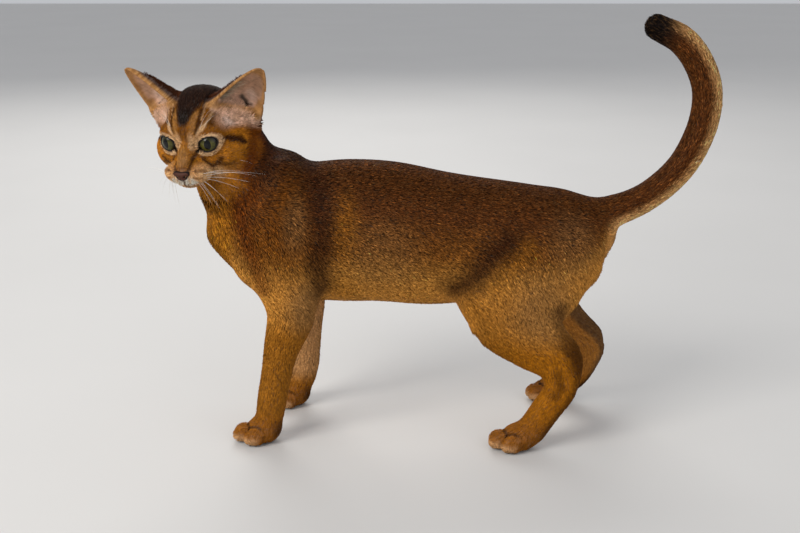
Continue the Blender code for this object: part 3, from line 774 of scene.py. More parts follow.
def on_ears(local: Array, low: float, high: float) -> Iterator[Array]:
    """For each ear, how much places in the head's axes are on it; it begins between two rises."""
    for _, _, b, r, off in each_ear(local):
        yield ease(r, low, high) * (off < 5) * (b < 4) * (r < 1.2)


TRUNK = Trunk()
TAIL = Tail()
SKULL = Skull()


@dataclass(frozen=True)
class Coat:
    """How deep the coat lies over the skin, in millimetres, by place."""

    body: float = 2.3
    leg: float = 1.3
    paw: float = 0.9
    tail: float = 2.4
    crown: float = 2.2
    face: float = 0.8

    def depth(self, x: Array, y: Array, z: Array) -> Array:
        """The coat's depth: the body's, thinning down the legs and forward over the head.

        Args:
            x: Places along X.
            y: Places along Y.
            z: Heights.

        Returns:
            The depth at each place of the grid that the three make.
        """
        down = ease(z, 100, 50) * (x < 160)
        foot = ease(z, 30, 12)
        deep = self.body + (self.leg - self.body) * down + (self.paw - self.leg) * foot
        deep = deep + (self.tail - self.body) * ease(x, 160, 180)
        f, s, u = HEAD.spread(x, y, z)
        near = ease(np.sqrt((f + 18) ** 2 + s**2 + u**2), 62, 42)
        head = self.crown + (self.face - self.crown) * ease(f - 0.25 * u, -32, -6)
        return deep + (head - deep) * near


COAT = Coat()
# Half widths of the bells that even out the body, the tops of the legs and all the rest.
BODY_BELL, THIGH_BELL, FINE_BELL = 5.5, 3.2, 1.6
# The soles' height over the floor, and the grid: places along each axis with the spacing there.
SOLE_HEIGHT = 0.35
GRID = (
    ((-222, 0.93), (-104, 0.93), (-92, 2.5), (236, 2.5)),
    ((-66, 1.5), (-52, 1.05), (26, 1.05), (36, 1.5), (66, 1.5)),
    ((-6, 1.3), (28, 1.3), (40, 2.6), (180, 2.6), (194, 0.93), (276, 0.93), (286, 2.2), (318, 2.2)),
)


def skin_field() -> Field:
    """Fills the grid with every mass, draws it in by the coat's depth and cuts the sockets and ears."""
    skin = Field(*(graded(stops) for stops in GRID))
    masses: list[Ball | Loft] = TRUNK.masses()
    for leg in LEGS.values():
        masses += leg.masses()
    for mass in masses + TAIL.masses() + SKULL.masses():
        skin.join(mass)
    x, y, z = np.ix_(*skin.axes)
    f, s, u = HEAD.spread(x, y, z)
    face = ease(np.sqrt((f + 14) ** 2 + s**2 + (u - 2) ** 2), 42, 32)
    broad = ease(z, 82, 102) * ease(x, 152, 136) * (1 - face)
    skin.even(BODY_BELL, broad)
    skin.even(THIGH_BELL, (1 - broad) * ease(z, 36, 56) * ease(z, 186, 172) * ease(x, 158, 148))
    skin.even(FINE_BELL, (1 - broad) * 0.5)
    toes = [toe for leg in LEGS.values() for toe in leg.toes()]
    for mass in toes + [eye.lid_mass() for eye in EYES.values()]:
        skin.join(mass)
    skin.value += COAT.depth(x, y, z).astype(np.float32)
    for ear in EARS.values():
        ear.add_to(skin)
    for hollow in [hollow for eye in EYES.values() for hollow in eye.hollows()]:
        skin.carve(hollow)
    floor = (SOLE_HEIGHT - z).astype(np.float32)
    skin.value = soft_max(skin.value, np.broadcast_to(floor, skin.value.shape), 0.8)
    return skin


# ------------------------------ Markings


class Shade(Enum):
    """The coat's and skin's colours, as linear red, green and blue."""

    SPINE = (0.074, 0.023, 0.004)
    BACK = (0.098, 0.03, 0.006)
    FLANK = (0.185, 0.066, 0.01)
    LOW = (0.42, 0.185, 0.034)
    BELLY = (0.62, 0.27, 0.047)
    CHEST = (0.36, 0.137, 0.009)
    NECK = (0.125, 0.028, 0.002)
    SHOULDER = (0.18, 0.056, 0.003)
    FORELEG = (0.39, 0.15, 0.014)
    SHANK = (0.44, 0.158, 0.008)
    PAW = (0.37, 0.132, 0.012)
    DARK = (0.03, 0.008, 0.002)
    INK = (0.007, 0.004, 0.003)
    CROWN = (0.024, 0.01, 0.006)
    CHEEK = (0.48, 0.175, 0.013)
    TAN = (0.42, 0.19, 0.046)
    PAD = (0.74, 0.42, 0.19)
    CREAM = (0.78, 0.48, 0.24)
    WHITE = (0.9, 0.8, 0.66)
    GREY = (0.24, 0.125, 0.046)
    # The ears' pinks are partly their own colour and partly painted light, made lighter to stand for light
    # through the thin ear.
    EAR_INSIDE = (0.62, 0.35, 0.21)
    EAR_PINK = (0.78, 0.48, 0.33)
    EAR_PALE = (0.9, 0.66, 0.54)
    EAR_RIM = (0.52, 0.24, 0.05)
    # Partly the tail's own gold and partly painted light: made lighter to stand for the light along the tail's
    # outer curve.
    TAIL_GOLD = (0.82, 0.43, 0.16)

    @property
    def colour(self) -> Array:
        """The colour as an array."""
        return np.array(self.value)


def plain(shade: Shade, places: Array) -> Array:
    """One shade at every place."""
    return np.tile(shade.colour, (len(places), 1))


def laid(colours: Array, shade: Shade, share: Array) -> Array:
    """The colours with a shade laid over them by each place's share."""
    return mixed(colours, shade.colour, share)


def grain(points: Array, size: float, seed: float = 0) -> Array:
    """A soft uneven field from -1 to 1: three waves of about this size, each bent by the one before."""
    p = points * (2 * math.pi / size)
    a = np.sin(p[:, 0] * 0.9 + p[:, 1] * 0.5 + p[:, 2] * 0.3 + seed)
    b = np.sin(p[:, 1] * 1.1 - p[:, 2] * 0.7 + a * 1.3 + seed * 2.1)
    c = np.sin(p[:, 2] * 1.05 + p[:, 0] * 0.6 + b * 1.4 + seed * 3.7)
    return (a + b + c) / 3


@dataclass(frozen=True)
class Spot:
    """A soft oval patch of one shade, in the head's or the body's axes."""

    shade: Shade
    middle: Triple
    radii: Triple
    strength: float = 1
    soft: float = 0.6

    def share(self, local: Array) -> Array:
        """How much of the patch lies at each place; the middle's side is taken for both sides."""
        mirrored = local * (1, math.copysign(1, self.middle[1] or 1), 1)
        mirrored[:, 1] = np.where(self.middle[1] == 0, local[:, 1], np.abs(local[:, 1]))
        at = np.array([self.middle[0], abs(self.middle[1]), self.middle[2]])
        k = lengths((mirrored - at) / self.radii)
        return self.strength * softened(k, self.soft)


@dataclass(frozen=True)
class Stroke:
    """A soft stripe of one shade along a line of points, on both sides."""

    shade: Shade
    line: tuple[Triple, ...]
    radius: float
    strength: float = 1
    soft: float = 0.9

    def share(self, local: Array) -> Array:
        """How much of the stripe lies at each place, from its distance to the line."""
        points, line = local.copy(), np.array(self.line, float)
        points[:, 1], line[:, 1] = np.abs(points[:, 1]), np.abs(line[:, 1])
        least = np.full(len(points), 1e9)
        for low, high in zip(line, line[1:]):
            along = high - low
            t = np.clip((points - low) @ along / (along @ along), 0, 1)
            least = np.minimum(least, lengths(points - low - t[:, None] * along))
        return self.strength * softened(least / self.radius, self.soft)


def marked(colours: Array, marks: Sequence[Spot | Stroke], local: Array, within: Array | float = 1) -> Array:
    """The colours with marks laid over them, each by its own share within a share of all."""
    for mark in marks:
        colours = laid(colours, mark.shade, mark.share(local) * within)
    return colours


# The body's marks, in its own axes: shade, middle, half sizes, or line, radius; strength, softness.
BODY_MARKS = (
    Spot(Shade.SHOULDER, (-88, 36, 165), (26, 26, 34), 0.55, 1),
    Spot(Shade.CHEST, (-134, 0, 150), (26, 30, 46), 1, 0.9),
    Spot(Shade.CHEST, (-112, 8, 108), (22, 20, 26), 0.9, 0.9),
    Stroke(Shade.NECK, (
        (-114, 28.5, 173), (-109.6, 33.2, 159), (-105.3, 36.9, 145), (-99, 37.2, 123),
    ), 5.5, 0.6, 1.5),
    Stroke(Shade.CROWN, ((-102, 8, 216), (-92, 8, 212), (-82, 3, 211), (-68, 5, 205)), 8.5, 0.75, 1.6),
    Spot(Shade.GREY, (-76, 35, 167), (9, 12, 18), 0.4, 1.3),
    Spot(Shade.GREY, (-68, 38, 108), (15, 12, 18), 0.75, 1.2),
    Spot(Shade.CHEST, (-41, 36, 165), (9, 12, 26), 0.3, 1.3),
    Spot(Shade.CHEST, (-44, 28, 117), (10, 12, 12), 0.4, 1.3),
    Spot(Shade.GREY, (-14, 38, 142), (24, 14, 26), 0.28, 1.3),
    # Painted shade: the dark band in the crease behind the shoulder.
    Stroke(Shade.DARK, (
        (-62.6, 20, 193), (-58.8, 32.6, 173.5), (-58.2, 35.7, 156), (-60.5, 34.9, 138), (-59.4, 30.4, 122),
    ), 9.5, 0.8, 1.6),
    Stroke(Shade.CHEST, ((88.6, 38.2, 150.8), (76.7, 40.4, 141.1), (65.5, 42.1, 126.7)), 7, 0.3, 1.5),
    Stroke(Shade.DARK, (
        (74, 36.2, 156), (67, 37.6, 150), (60.4, 38.8, 142), (48.6, 37.7, 128), (38, 33, 119),
    ), 9.5, 0.88, 2),
    Spot(Shade.SHOULDER, (70, 40, 98), (26, 16, 24), 0.4, 1.3),
    Spot(Shade.GREY, (104, 46, 108), (24, 15, 24), 0.6, 1.1),
    Spot(Shade.GREY, (122, 32, 150), (18, 14, 26), 0.3, 1.2),
    Stroke(Shade.CHEST, ((50.3, 40.2, 105), (61.2, 42.9, 90.8), (72.4, 43.6, 75.7)), 10, 0.35, 1.4),
    Stroke(Shade.DARK, (
        (113.7, 39.4, 106.4), (116.8, 42.3, 90.6), (122.6, 45.6, 78), (127.3, 46.9, 65.4),
    ), 6, 0.6, 1.5),
    Stroke(Shade.DARK, ((114.2, 48.8, 60.7), (116.6, 49.8, 51.1), (113.2, 50.4, 43.5)), 3, 0.5, 1.4),
    Spot(Shade.TAN, (150, 8, 132), (14, 18, 26), 0.5, 1),
)
# The same for the head, in the head's axes.
HEAD_MARKS = (
    Spot(Shade.INK, (-3.5, 0, 17), (7, 4, 5), 0.8, 1),
    Stroke(Shade.TAN, ((-5.2, 8.6, 18.9), (-1.4, 6.8, 15.8), (1.2, 6, 10.2), (1.7, 4.4, 2.3)), 1.8, 0.9, 1.2),
    Stroke(Shade.DARK, ((2.6, 1.4, 9), (2.5, 1.5, 3.2), (5, 1.6, -1)), 0.8, 0.6, 1.2),
    Stroke(Shade.DARK, (
        (-8.6, 10.6, 20.2), (-5.7, 10, 18), (-2.9, 10.1, 14.7), (-0.4, 9.1, 10.4), (0.7, 8.1, 6.4),
    ), 1.3, 0.8, 1.1),
    Stroke(Shade.DARK, ((-6, 17, 12.5), (-11, 17.2, 17), (-16.8, 18.6, 21)), 2.6, 0.7, 1.3),
    Spot(Shade.CREAM, (2.2, 4.6, 0.5), (4, 2.4, 6), 0.9, 0.9),
    Spot(Shade.TAN, (10, 0, -10), (9, 3.6, 9), 1, 0.6),
    Spot(Shade.NECK, (12.6, 0, -15.2), (3.5, 4, 2), 0.6, 1),
    Spot(Shade.TAN, (-8, 21, -20.5), (11, 10, 5), 0.55, 1),
    Spot(Shade.PAD, (8, 12.5, -20.5), (9.5, 8.5, 7), 0.95, 0.9),
    Spot(Shade.PAD, (-3, 15.5, -22.5), (9, 7, 6), 0.9, 1),
    Spot(Shade.CREAM, (5, 15.5, -20.5), (6, 4, 3.5), 0.6, 1),
    Stroke(Shade.SHOULDER, ((12.3, 9.2, -16.4), (10.8, 12.3, -16.1), (8.5, 14.9, -16.9)), 1, 0.65, 1.1),
    Stroke(Shade.SHOULDER, ((13.1, 8.9, -20.5), (12, 11.8, -20.8), (10.4, 13.4, -21.2)), 0.9, 0.65, 1.1),
    Spot(Shade.PAD, (5, 0, -30), (11, 10, 5), 0.9, 0.6),
    Spot(Shade.WHITE, (12, 4.4, -23.2), (5.6, 4.8, 3.2), 1, 0.7),
    Stroke(Shade.CREAM, ((13.7, 7, -18.6), (13.6, 5.2, -20.8), (11.8, 3.8, -24.4)), 0.7, 0.8, 1),
    Stroke(Shade.DARK, (
        (0.8, 8.4, -5.6), (2.1, 6.9, -7.4), (5.3, 5.2, -9.3), (8.6, 4.8, -12), (11.3, 5, -14.4),
        (13.1, 4.8, -16.2),
    ), 1.4, 0.85, 1),
    Stroke(Shade.DARK, (
        (-4.5, 22.4, 1.6), (-9.8, 24.3, 0.6), (-15.2, 29.2, -2), (-21, 32.5, -6.4),
    ), 1.7, 0.9, 1),
    Stroke(Shade.DARK, ((-12, 26.6, -0.2), (-18.6, 31.2, -3.6)), 3, 0.75, 1.2),
    Stroke(Shade.DARK, (
        (1, 10.2, -9.6), (0.1, 11.3, -13.1), (-1.8, 12.6, -15.9), (-4, 14.8, -16.8), (-4.3, 18.1, -15.3),
        (-4.6, 22, -11.9),
    ), 1.5, 0.85, 1),
    Stroke(Shade.DARK, ((-5.2, 21, -15.4), (-7.1, 24.2, -16.9), (-9.6, 27.8, -16.6)), 1.5, 0.6, 1.2),
    # Painted shade: the dark band behind the cheek, the dark patch under the cheek and the shadow crease
    # between head and neck.
    Stroke(Shade.NECK, (
        (-28.4, 35, 6.7), (-31, 33.8, -3.9), (-23.4, 35.1, -12.4), (-17.5, 35.8, -20.8), (-12.8, 33.9, -27.3),
    ), 3.8, 0.8, 1.3),
    Spot(Shade.NECK, (-24, 36, -27), (14, 14, 15), 0.85, 0.9),
    Stroke(Shade.DARK, (
        (-46, 40, -12), (-34, 41, -18), (-23.3, 43, -22.7), (-17.6, 41, -26.6), (-13.7, 39, -31.3),
    ), 3.4, 0.7, 1.4),
    Spot(Shade.EAR_PINK, (-19.5, 25, 11.8), (11, 10, 6.8), 0.9, 0.9),
    Spot(Shade.EAR_PALE, (-20, 24.5, 11.5), (6, 6, 4.6), 0.8, 1),
    Stroke(Shade.CREAM, (
        (3.6, 3.9, -2.6), (1.3, 4.8, -0.7), (0.6, 7.4, 2.8), (-0.8, 10.8, 8.2), (-3.2, 13.1, 11),
    ), 1.6, 0.9, 1),
    Stroke(Shade.CREAM, ((-3.2, 13.1, 11), (-7, 14.6, 14), (-12, 16, 18)), 1, 0.45, 1.5),
    Stroke(Shade.CREAM, ((-4, 11.1, 15), (-8.9, 11.7, 19.2), (-14.3, 12, 23.2)), 0.6, 0.5, 1.2),
)
# Half the dark crown's width, by place ahead.
CROWN_EDGE = (
    (-54, 24), (-30, 18.5), (-20, 15), (-14, 11), (-7, 8), (-3.5, 6.6), (-0.6, 4.8), (1.2, 3), (2.4, 0.2),
)
# The marks inside the ears, of which the last two are the canal, darkened as painted shade in its hollow.
EAR_MARKS = (
    Stroke(Shade.EAR_RIM, ((-30.6, 40.8, 9.5), (-32, 40.5, 13.5), (-33.6, 42.9, 18.3)), 3.2, 0.85, 1),
    Spot(Shade.EAR_PALE, (-33, 37, 24), (6, 4, 5), 0.6, 1),
    Stroke(Shade.INK, ((-34.6, 30, 23.4), (-34.4, 32.7, 20.3), (-32.6, 33.2, 17.6)), 1.5, 0.9, 1.1),
    Stroke(Shade.INK, ((-32.6, 33.6, 17.4), (-34, 36.6, 18)), 1.2, 0.75, 1.2),
)
CANAL_MARKS = EAR_MARKS[-2:]
# Where the whiskers' roots show dark.
WHISKER_SPOTS = ((11.6, 9.3, -16.2), (10, 11.6, -18.2), (10.2, 11, -20.6), (7.6, 13.6, -17.2), (7, 14, -19.8))


class Markings:
    """The cat's colours by place: ticked back, golden legs, masked face, dark tail tip."""

    def colours(self, points: Array) -> Array:
        """The colour at each place of the skin.

        Args:
            points: Places in the body's millimetres.

        Returns:
            One linear colour for each place.
        """
        out = self._tail(points, self._legs(points, self._barrel(points)))
        out = marked(out, BODY_MARKS, points)
        x, _, z = points.T
        neck = ease(lengths(points - (-118, 0, 200)), 52, 26)
        back = ease(x + 0.55 * (z - 200), -112, -92)
        out = laid(out, Shade.NECK, neck * (1 - back) * 0.75)
        out = laid(out, Shade.DARK, neck * back * 0.92)
        throat = ease(x, -116, -130) * ease(z, 198, 188) * ease(z, 150, 170)
        out = laid(self._head(points, out), Shade.CHEST, throat * 0.7)
        uneven = 1 + 0.13 * grain(points, 9) + 0.16 * grain(points, 3.4, 2)
        return self._ears(points, out) * uneven[:, None]

    def _barrel(self, points: Array) -> Array:
        """Dark along the spine, brown on the flanks and apricot below."""
        high = TRUNK.height_share(points)
        stops = np.array([-1, -0.72, -0.42, -0.05, 0.45, 0.78, 1])
        shades = (Shade.BELLY, Shade.BELLY, Shade.LOW, Shade.FLANK, Shade.BACK, Shade.SPINE, Shade.SPINE)
        table = np.array([shade.value for shade in shades])
        share = np.clip(high, -1, 1) + 0.04 * grain(points, 23, 1)
        return np.stack([np.interp(share, stops, table[:, k]) for k in range(3)], axis=1)

    @staticmethod
    def _legs(points: Array, out: Array) -> Array:
        """Golden legs, darker paws, dark backs to the hocks and dark soles, with painted shade in the creases
        above the toes and in the gaps between them.
        """
        x, y, z = points.T
        down = ease(z, 112, 84) * (x < 165)
        out = laid(out, Shade.FORELEG, down * (x < 0))
        out = laid(out, Shade.SHANK, down * (x >= 0) * ease(z, 100, 70))
        out = laid(out, Shade.PAW, ease(z, 34, 14))
        for leg in LEGS.values():
            middle, out_left, height, half = leg.line()[:, :4].T
            near = leg.owns(points)
            behind = x - np.interp(z, height, middle) - 0.35 * np.interp(z, height, half)
            back = ease(behind, -1, 5) * ease(z, leg.dark_top + 8, leg.dark_top - 8) * ease(z, 2, 8)
            inner = ease(np.interp(z, height, np.abs(out_left)) - np.abs(y), -1, 5)
            pale = (0.6 if leg.fore else 0.15) * inner * down * ease(z, 22, 38)
            gap, crease, tip = leg.between_toes(points)
            # The crease above the toes and the gaps between them are darkened as painted shade.
            marks = (
                (Shade.DARK, back * leg.dark_share), (Shade.PAD, pale), (Shade.PAD, tip * 0.85),
                (Shade.DARK, crease * 0.7), (Shade.INK, gap * 0.9),
            )
            for shade, share in marks:
                out = laid(out, shade, share * near)
        return laid(out, Shade.INK, ease(z, 2.6, 1))

    @staticmethod
    def _tail(points: Array, out: Array) -> Array:
        """Gold on the outer curve, partly painted light standing for the light along that side, dark on the
        inner one and along the top, black at the tip.
        """
        at, rest, _, inner = TAIL.nearest(points)
        line = TAIL.line()
        turn = (rest * inner).sum(axis=1) / line[at, 3]
        on_tail = ease(points[:, 0], 143, 160) * (points[:, 2] > TAIL_HEIGHT)
        # The outer curve's gold is partly painted light.
        shade = laid(plain(Shade.TAIL_GOLD, points), Shade.BACK, ease(turn, -0.65, 0.05))
        shade = laid(shade, Shade.SPINE, ease(turn, 0.3, 0.85))
        out = mixed(out, shade, on_tail)
        return laid(out, Shade.INK, on_tail * ease(at / len(line), 0.86, 0.97))

    def _head(self, points: Array, out: Array) -> Array:
        """The face: golden cheeks, cream round the eyes and muzzle, dark stripes, dark crown."""
        local = HEAD.local(points)
        f, s, u = local.T
        near = ease(head_reach(local), 54, 40)
        face = laid(plain(Shade.CHEEK, points), Shade.NECK, ease(f, -22, -38))
        face = laid(face, Shade.SHOULDER, ease(u, 2, 10) * 0.7)
        ahead, half = np.array(CROWN_EDGE).T
        half = np.interp(f, ahead, half)
        soft = 1.4 + 0.16 * half
        over = ease(np.abs(s) + 0.5 * grain(local, 5), half + soft, half - soft) * (u > -2)
        over = np.maximum(over, ease(f, -36, -44))
        face = laid(face, Shade.CROWN, over * ease(f, 2.8, 1))
        face = marked(face, HEAD_MARKS, local)
        for eye in EYES.values():
            face = self._eye_ring(face, eye, points)
        face = marked(face, [Spot(Shade.DARK, place, (1, 1, 0.8), 0.6, 1) for place in WHISKER_SPOTS], local)
        out = mixed(out, face, near)
        return laid(out, Shade.INK, MOUTH.shade(local) * near)

    @staticmethod
    def _eye_ring(face: Array, eye: EyeSet, points: Array) -> Array:
        """Ink on the lids' edge, then a cream ring that is widest below and above the inner corner."""
        f, w, t = eye.axes().local(points).T
        ring, ahead = eye.ring(w, t), ease(f, -1, 2.5)
        inner = ease(w * eye.side, 4, -6)
        wide = 1.41 + 0.1 * ease(t, 0, -4) + 0.12 * inner
        brown = ease(ring, wide + 0.55, wide + 0.1) * ahead
        face = laid(face, Shade.SHOULDER, brown * 0.5)
        cream = ease(ring, wide + 0.09, wide - 0.09) * ahead
        face = laid(face, Shade.CREAM, cream * (1 - 0.2 * ease(w * eye.side, 8, 12)))
        corner = np.hypot((w * eye.side + 8.9) / 2.7, (t + 1.2) / 1.7)
        face = laid(face, Shade.INK, ease(corner, 1.2, 0.7) * ahead)
        return laid(face, Shade.INK, ease(ring, 1.2, 1.09) * ahead)

    @staticmethod
    def _ears(points: Array, out: Array) -> Array:
        """Pinkish inside and before the opening, partly painted light for light through the thin ear, golden
        at the rim, brown behind, with painted shade darkening the canal.
        """
        local = HEAD.local(points)
        for ear, a, b, r, off in each_ear(local):
            on = ease(r, -0.02, 0.1) * (off < 4) * (b < 4) * (r < 1.1)
            back = laid(plain(Shade.NECK, points), Shade.DARK, ease(r, 0.55, 0.95) * 0.5)
            back = laid(back, Shade.CROWN, ease(a, 2, -10) * 0.6)
            inner = ear.inside(local)
            flesh = laid(plain(Shade.EAR_INSIDE, points), Shade.EAR_PINK, ease(r, 0.55, 0.15))
            flesh = laid(flesh, Shade.GREY, 0.35 * ease(grain(local, 8, 4), 0.1, 0.6))
            outer = on * (1 - inner)
            out = out * (1 - outer - inner)[:, None] + back * outer[:, None] + flesh * inner[:, None]
            rim = np.clip(ease(b, -4.6, -1.4) + ease(r, 0.72, 0.92), 0, 1) * on * ease(r, -0.02, 0.12)
            out = laid(out, Shade.EAR_RIM, rim * 0.85)
            out = marked(out, EAR_MARKS, local, inner)
        return out


@dataclass(frozen=True)
class Mouth:
    """The groove from the nose to the lips, and the line between them, in the head's axes."""

    top: float = -22.6
    fork: float = -26.2
    dip: float = 2.4
    half: float = 13
    depth: float = 0.9
    width: float = 0.8

    def away(self, local: Array) -> Array:
        """The distance to the line across the face, seen from the front."""
        _, s, u = local.T
        share = np.clip(np.abs(s) / self.half, 0, 1)
        lips = self.fork - self.dip * np.sin(share * math.pi * 0.85)
        line = np.hypot(u - lips, np.maximum(np.abs(s) - self.half, 0))
        cleft = np.hypot(s, np.maximum(u - self.top, 0) + np.maximum(self.fork - u, 0))
        return np.minimum(line, cleft)

    def shade(self, local: Array) -> Array:
        """How dark the line is at each place."""
        ahead = ease(local[:, 0], -6, 1)
        return 0.85 * ease(self.away(local), self.width * 1.1, self.width * 0.3) * ahead

    def groove(self, local: Array) -> Array:
        """How far the skin draws in at each place."""
        ahead = ease(local[:, 0], -6, 0)
        return self.depth * np.exp(-((self.away(local) / self.width) ** 2)) * ahead


MOUTH = Mouth()
MARKINGS = Markings()


# ------------------------------ The skin's own unwrap


@dataclass(frozen=True)
class Chart:
    """One part of the skin on the unwrap: the corner and size of its rectangle."""

    u: float
    v: float
    wide: float
    tall: float
    wraps: bool = False


class Atlas:
    """Lays each part of the skin flat in a rectangle of its own."""

    ears = [f"ear_{hand}_{face}" for hand in SIDES for face in ("inside", "back")]
    charts = {
        "body": Chart(0.01, 0.01, 0.6, 0.58, True),
        "head": Chart(0.63, 0.01, 0.36, 0.36),
        "tail": Chart(0.01, 0.62, 0.52, 0.14, True),
        **{
            leg: Chart(0.63 + 0.19 * (k % 2), 0.4 + 0.22 * (k // 2), 0.17, 0.2, True)
            for k, leg in enumerate(LEGS)
        },
        **{ear: Chart(0.01 + 0.14 * k, 0.8, 0.12, 0.14) for k, ear in enumerate(ears)},
    }
    names = tuple(charts)
    head_radius = 26

    def part(self, points: Array) -> Array:
        """The chart that each place belongs to, as an index in names."""
        x, _, z = points.T
        local = HEAD.local(points)
        masks = {name: (z < 95) & (x < 165) & leg.owns(points) for name, leg in LEGS.items()}
        masks["tail"] = (x > TRUNK.back_end) & (z > TAIL_HEIGHT)
        masks["head"] = head_reach(local) < HEAD_EDGE
        for ear, _, b, r, off in each_ear(local):
            on = (r > 0.12) & (off < 4) & (b < 3) & (np.sign(local[:, 1]) == SIDES[ear.hand])
            masks[f"ear_{ear.hand}_inside"] = on & (off < 0)
            masks[f"ear_{ear.hand}_back"] = on & (off >= 0)
        out = np.full(len(points), self.names.index("body"))
        for name, mask in masks.items():
            out[mask] = self.names.index(name)
        return out

    def flat(self, points: Array, name: str) -> Array:
        """Two coordinates from 0 to 1 over one chart.

        A body, leg or tail is unrolled: length by the angle round its middle line. The head is
        spread out from the nose, by the angle from straight ahead. An ear is seen from its front.

        Args:
            points: Places in the body's millimetres.
            name: The chart's name.

        Returns:
            One pair for each place.
        """
        if name == "body":
            rows = np.array(TRUNK.stations)
            along = (points[:, 0] + 155) / 322
            turn = np.arctan2(points[:, 1], points[:, 2] - np.interp(points[:, 0], rows[:, 0], rows[:, 1]))
        elif name == "tail":
            at, rest, ahead, inner = TAIL.nearest(points)
            steps = lengths(np.diff(TAIL.line()[:, :3], axis=0))
            length = np.concatenate([[0], np.cumsum(steps)])
            along = (length[at] + (rest * ahead).sum(axis=1)) / (length[-1] + 14)
            turn = np.arctan2(points[:, 1], (rest * inner).sum(axis=1))
        elif name == "head":
            way = unit(HEAD.local(points) - (-22, 0, -2))
            reach = np.arccos(np.clip(way[:, 0], -1, 1)) / math.pi / 2
            ring = unit(way[:, 1:])
            return 0.5 + ring * reach[:, None] * 0.98
        elif name.startswith("ear"):
            ear = EARS[name.split("_")[1]]
            a, _, r, _ = ear.parts(*HEAD.local(points).T)
            return np.stack([0.5 + a / ear.half_width() * 0.42, r * 0.95], axis=1)
        else:
            line = LEGS[name].line()
            x, y = (points[:, k] - np.interp(points[:, 2], line[:, 2], line[:, k]) for k in range(2))
            along = (points[:, 2] + 2) / 100
            turn = np.arctan2(y, x)
        return np.stack([along, 0.5 + turn / (2 * math.pi)], axis=1)

    def place(self, points: Array, parts: Array) -> Array:
        """Each place's spot on the whole unwrap."""
        out = np.zeros((len(points), 2))
        for index, name in enumerate(self.names):
            mine = parts == index
            if mine.any():
                chart = self.charts[name]
                flat = self.flat(points[mine], name)
                out[mine] = (chart.u, chart.v) + flat * (chart.wide, chart.tall)
        return out

    def corners(self, points: Array, faces: Array) -> Array:
        """The unwrap at every corner of every face, each face whole within one chart."""
        middle = points[faces].mean(axis=1)
        parts = self.part(middle)
        centre = self.place(middle, parts)
        count = faces.shape[1]
        spots = self.place(points[faces].reshape(-1, 3), np.repeat(parts, count)).reshape(-1, count, 2)
        turn = np.array([self.charts[n].tall if self.charts[n].wraps else 1e9 for n in self.names])[parts]
        off = spots[:, :, 1] - centre[:, None, 1]
        spots[:, :, 1] -= np.round(off / turn[:, None]) * turn[:, None]
        return spots.reshape(-1, 2)

    def lay(self, points: Array, faces: Array) -> Array:
        """Millimetres along and across the hair at every corner of every face.

        Args:
            points: The skin's places.
            faces: Its four-sided faces.

        Returns:
            One pair for each corner, whole within each face.
        """
        spots = self.corners(points, faces).reshape(len(faces), -1, 2)
        parts = self.part(points[faces].mean(axis=1))
        out = spots * MAP_SPAN
        head = parts == self.names.index("head")
        chart = self.charts["head"]
        off = spots[head] - (chart.u + chart.wide / 2, chart.v + chart.tall / 2)
        angle = np.arctan2(off[:, :, 1], off[:, :, 0])
        angle -= np.round((angle - angle[:, :1]) / (2 * math.pi)) * 2 * math.pi
        out[head] = np.stack([np.linalg.norm(off, axis=2) * MAP_SPAN, angle * self.head_radius], axis=2)
        return out.reshape(-1, 2)


ATLAS = Atlas()


# ------------------------------ Shaders


def math_node(operation: str, swapped: bool = False) -> Callable[..., "Tone"]:
    """A method of Tone that adds one Math node, with its two inputs swapped if it says so."""

    def made(self: "Tone", other: Any = 0) -> "Tone":
        """The node's result."""
        first, second = (other, self) if swapped else (self, other)
        return self.tree.node("ShaderNodeMath", {"operation": operation}, {0: first, 1: second})

    return made


class Tone:
    """A number that a node gives; its operators add Math nodes to the same tree."""

    def __init__(self, tree: "Tree", socket: bpy.types.NodeSocket) -> None:
        """Wraps one output socket of the tree."""
        self.tree = tree
        self.socket = socket

    __add__ = __radd__ = math_node("ADD")
    __sub__ = math_node("SUBTRACT")
    __rsub__ = math_node("SUBTRACT", True)
    __mul__ = __rmul__ = math_node("MULTIPLY")
    __truediv__ = math_node("DIVIDE")
    root = math_node("SQRT")

    def between(self, low: float, high: float) -> "Tone":
        """Rises smoothly from 0 at low to 1 at high."""
        ramp = {"interpolation_type": "SMOOTHSTEP", "clamp": True}
        return self.tree.node("ShaderNodeMapRange", ramp, {"Value": self, "From Min": low, "From Max": high})


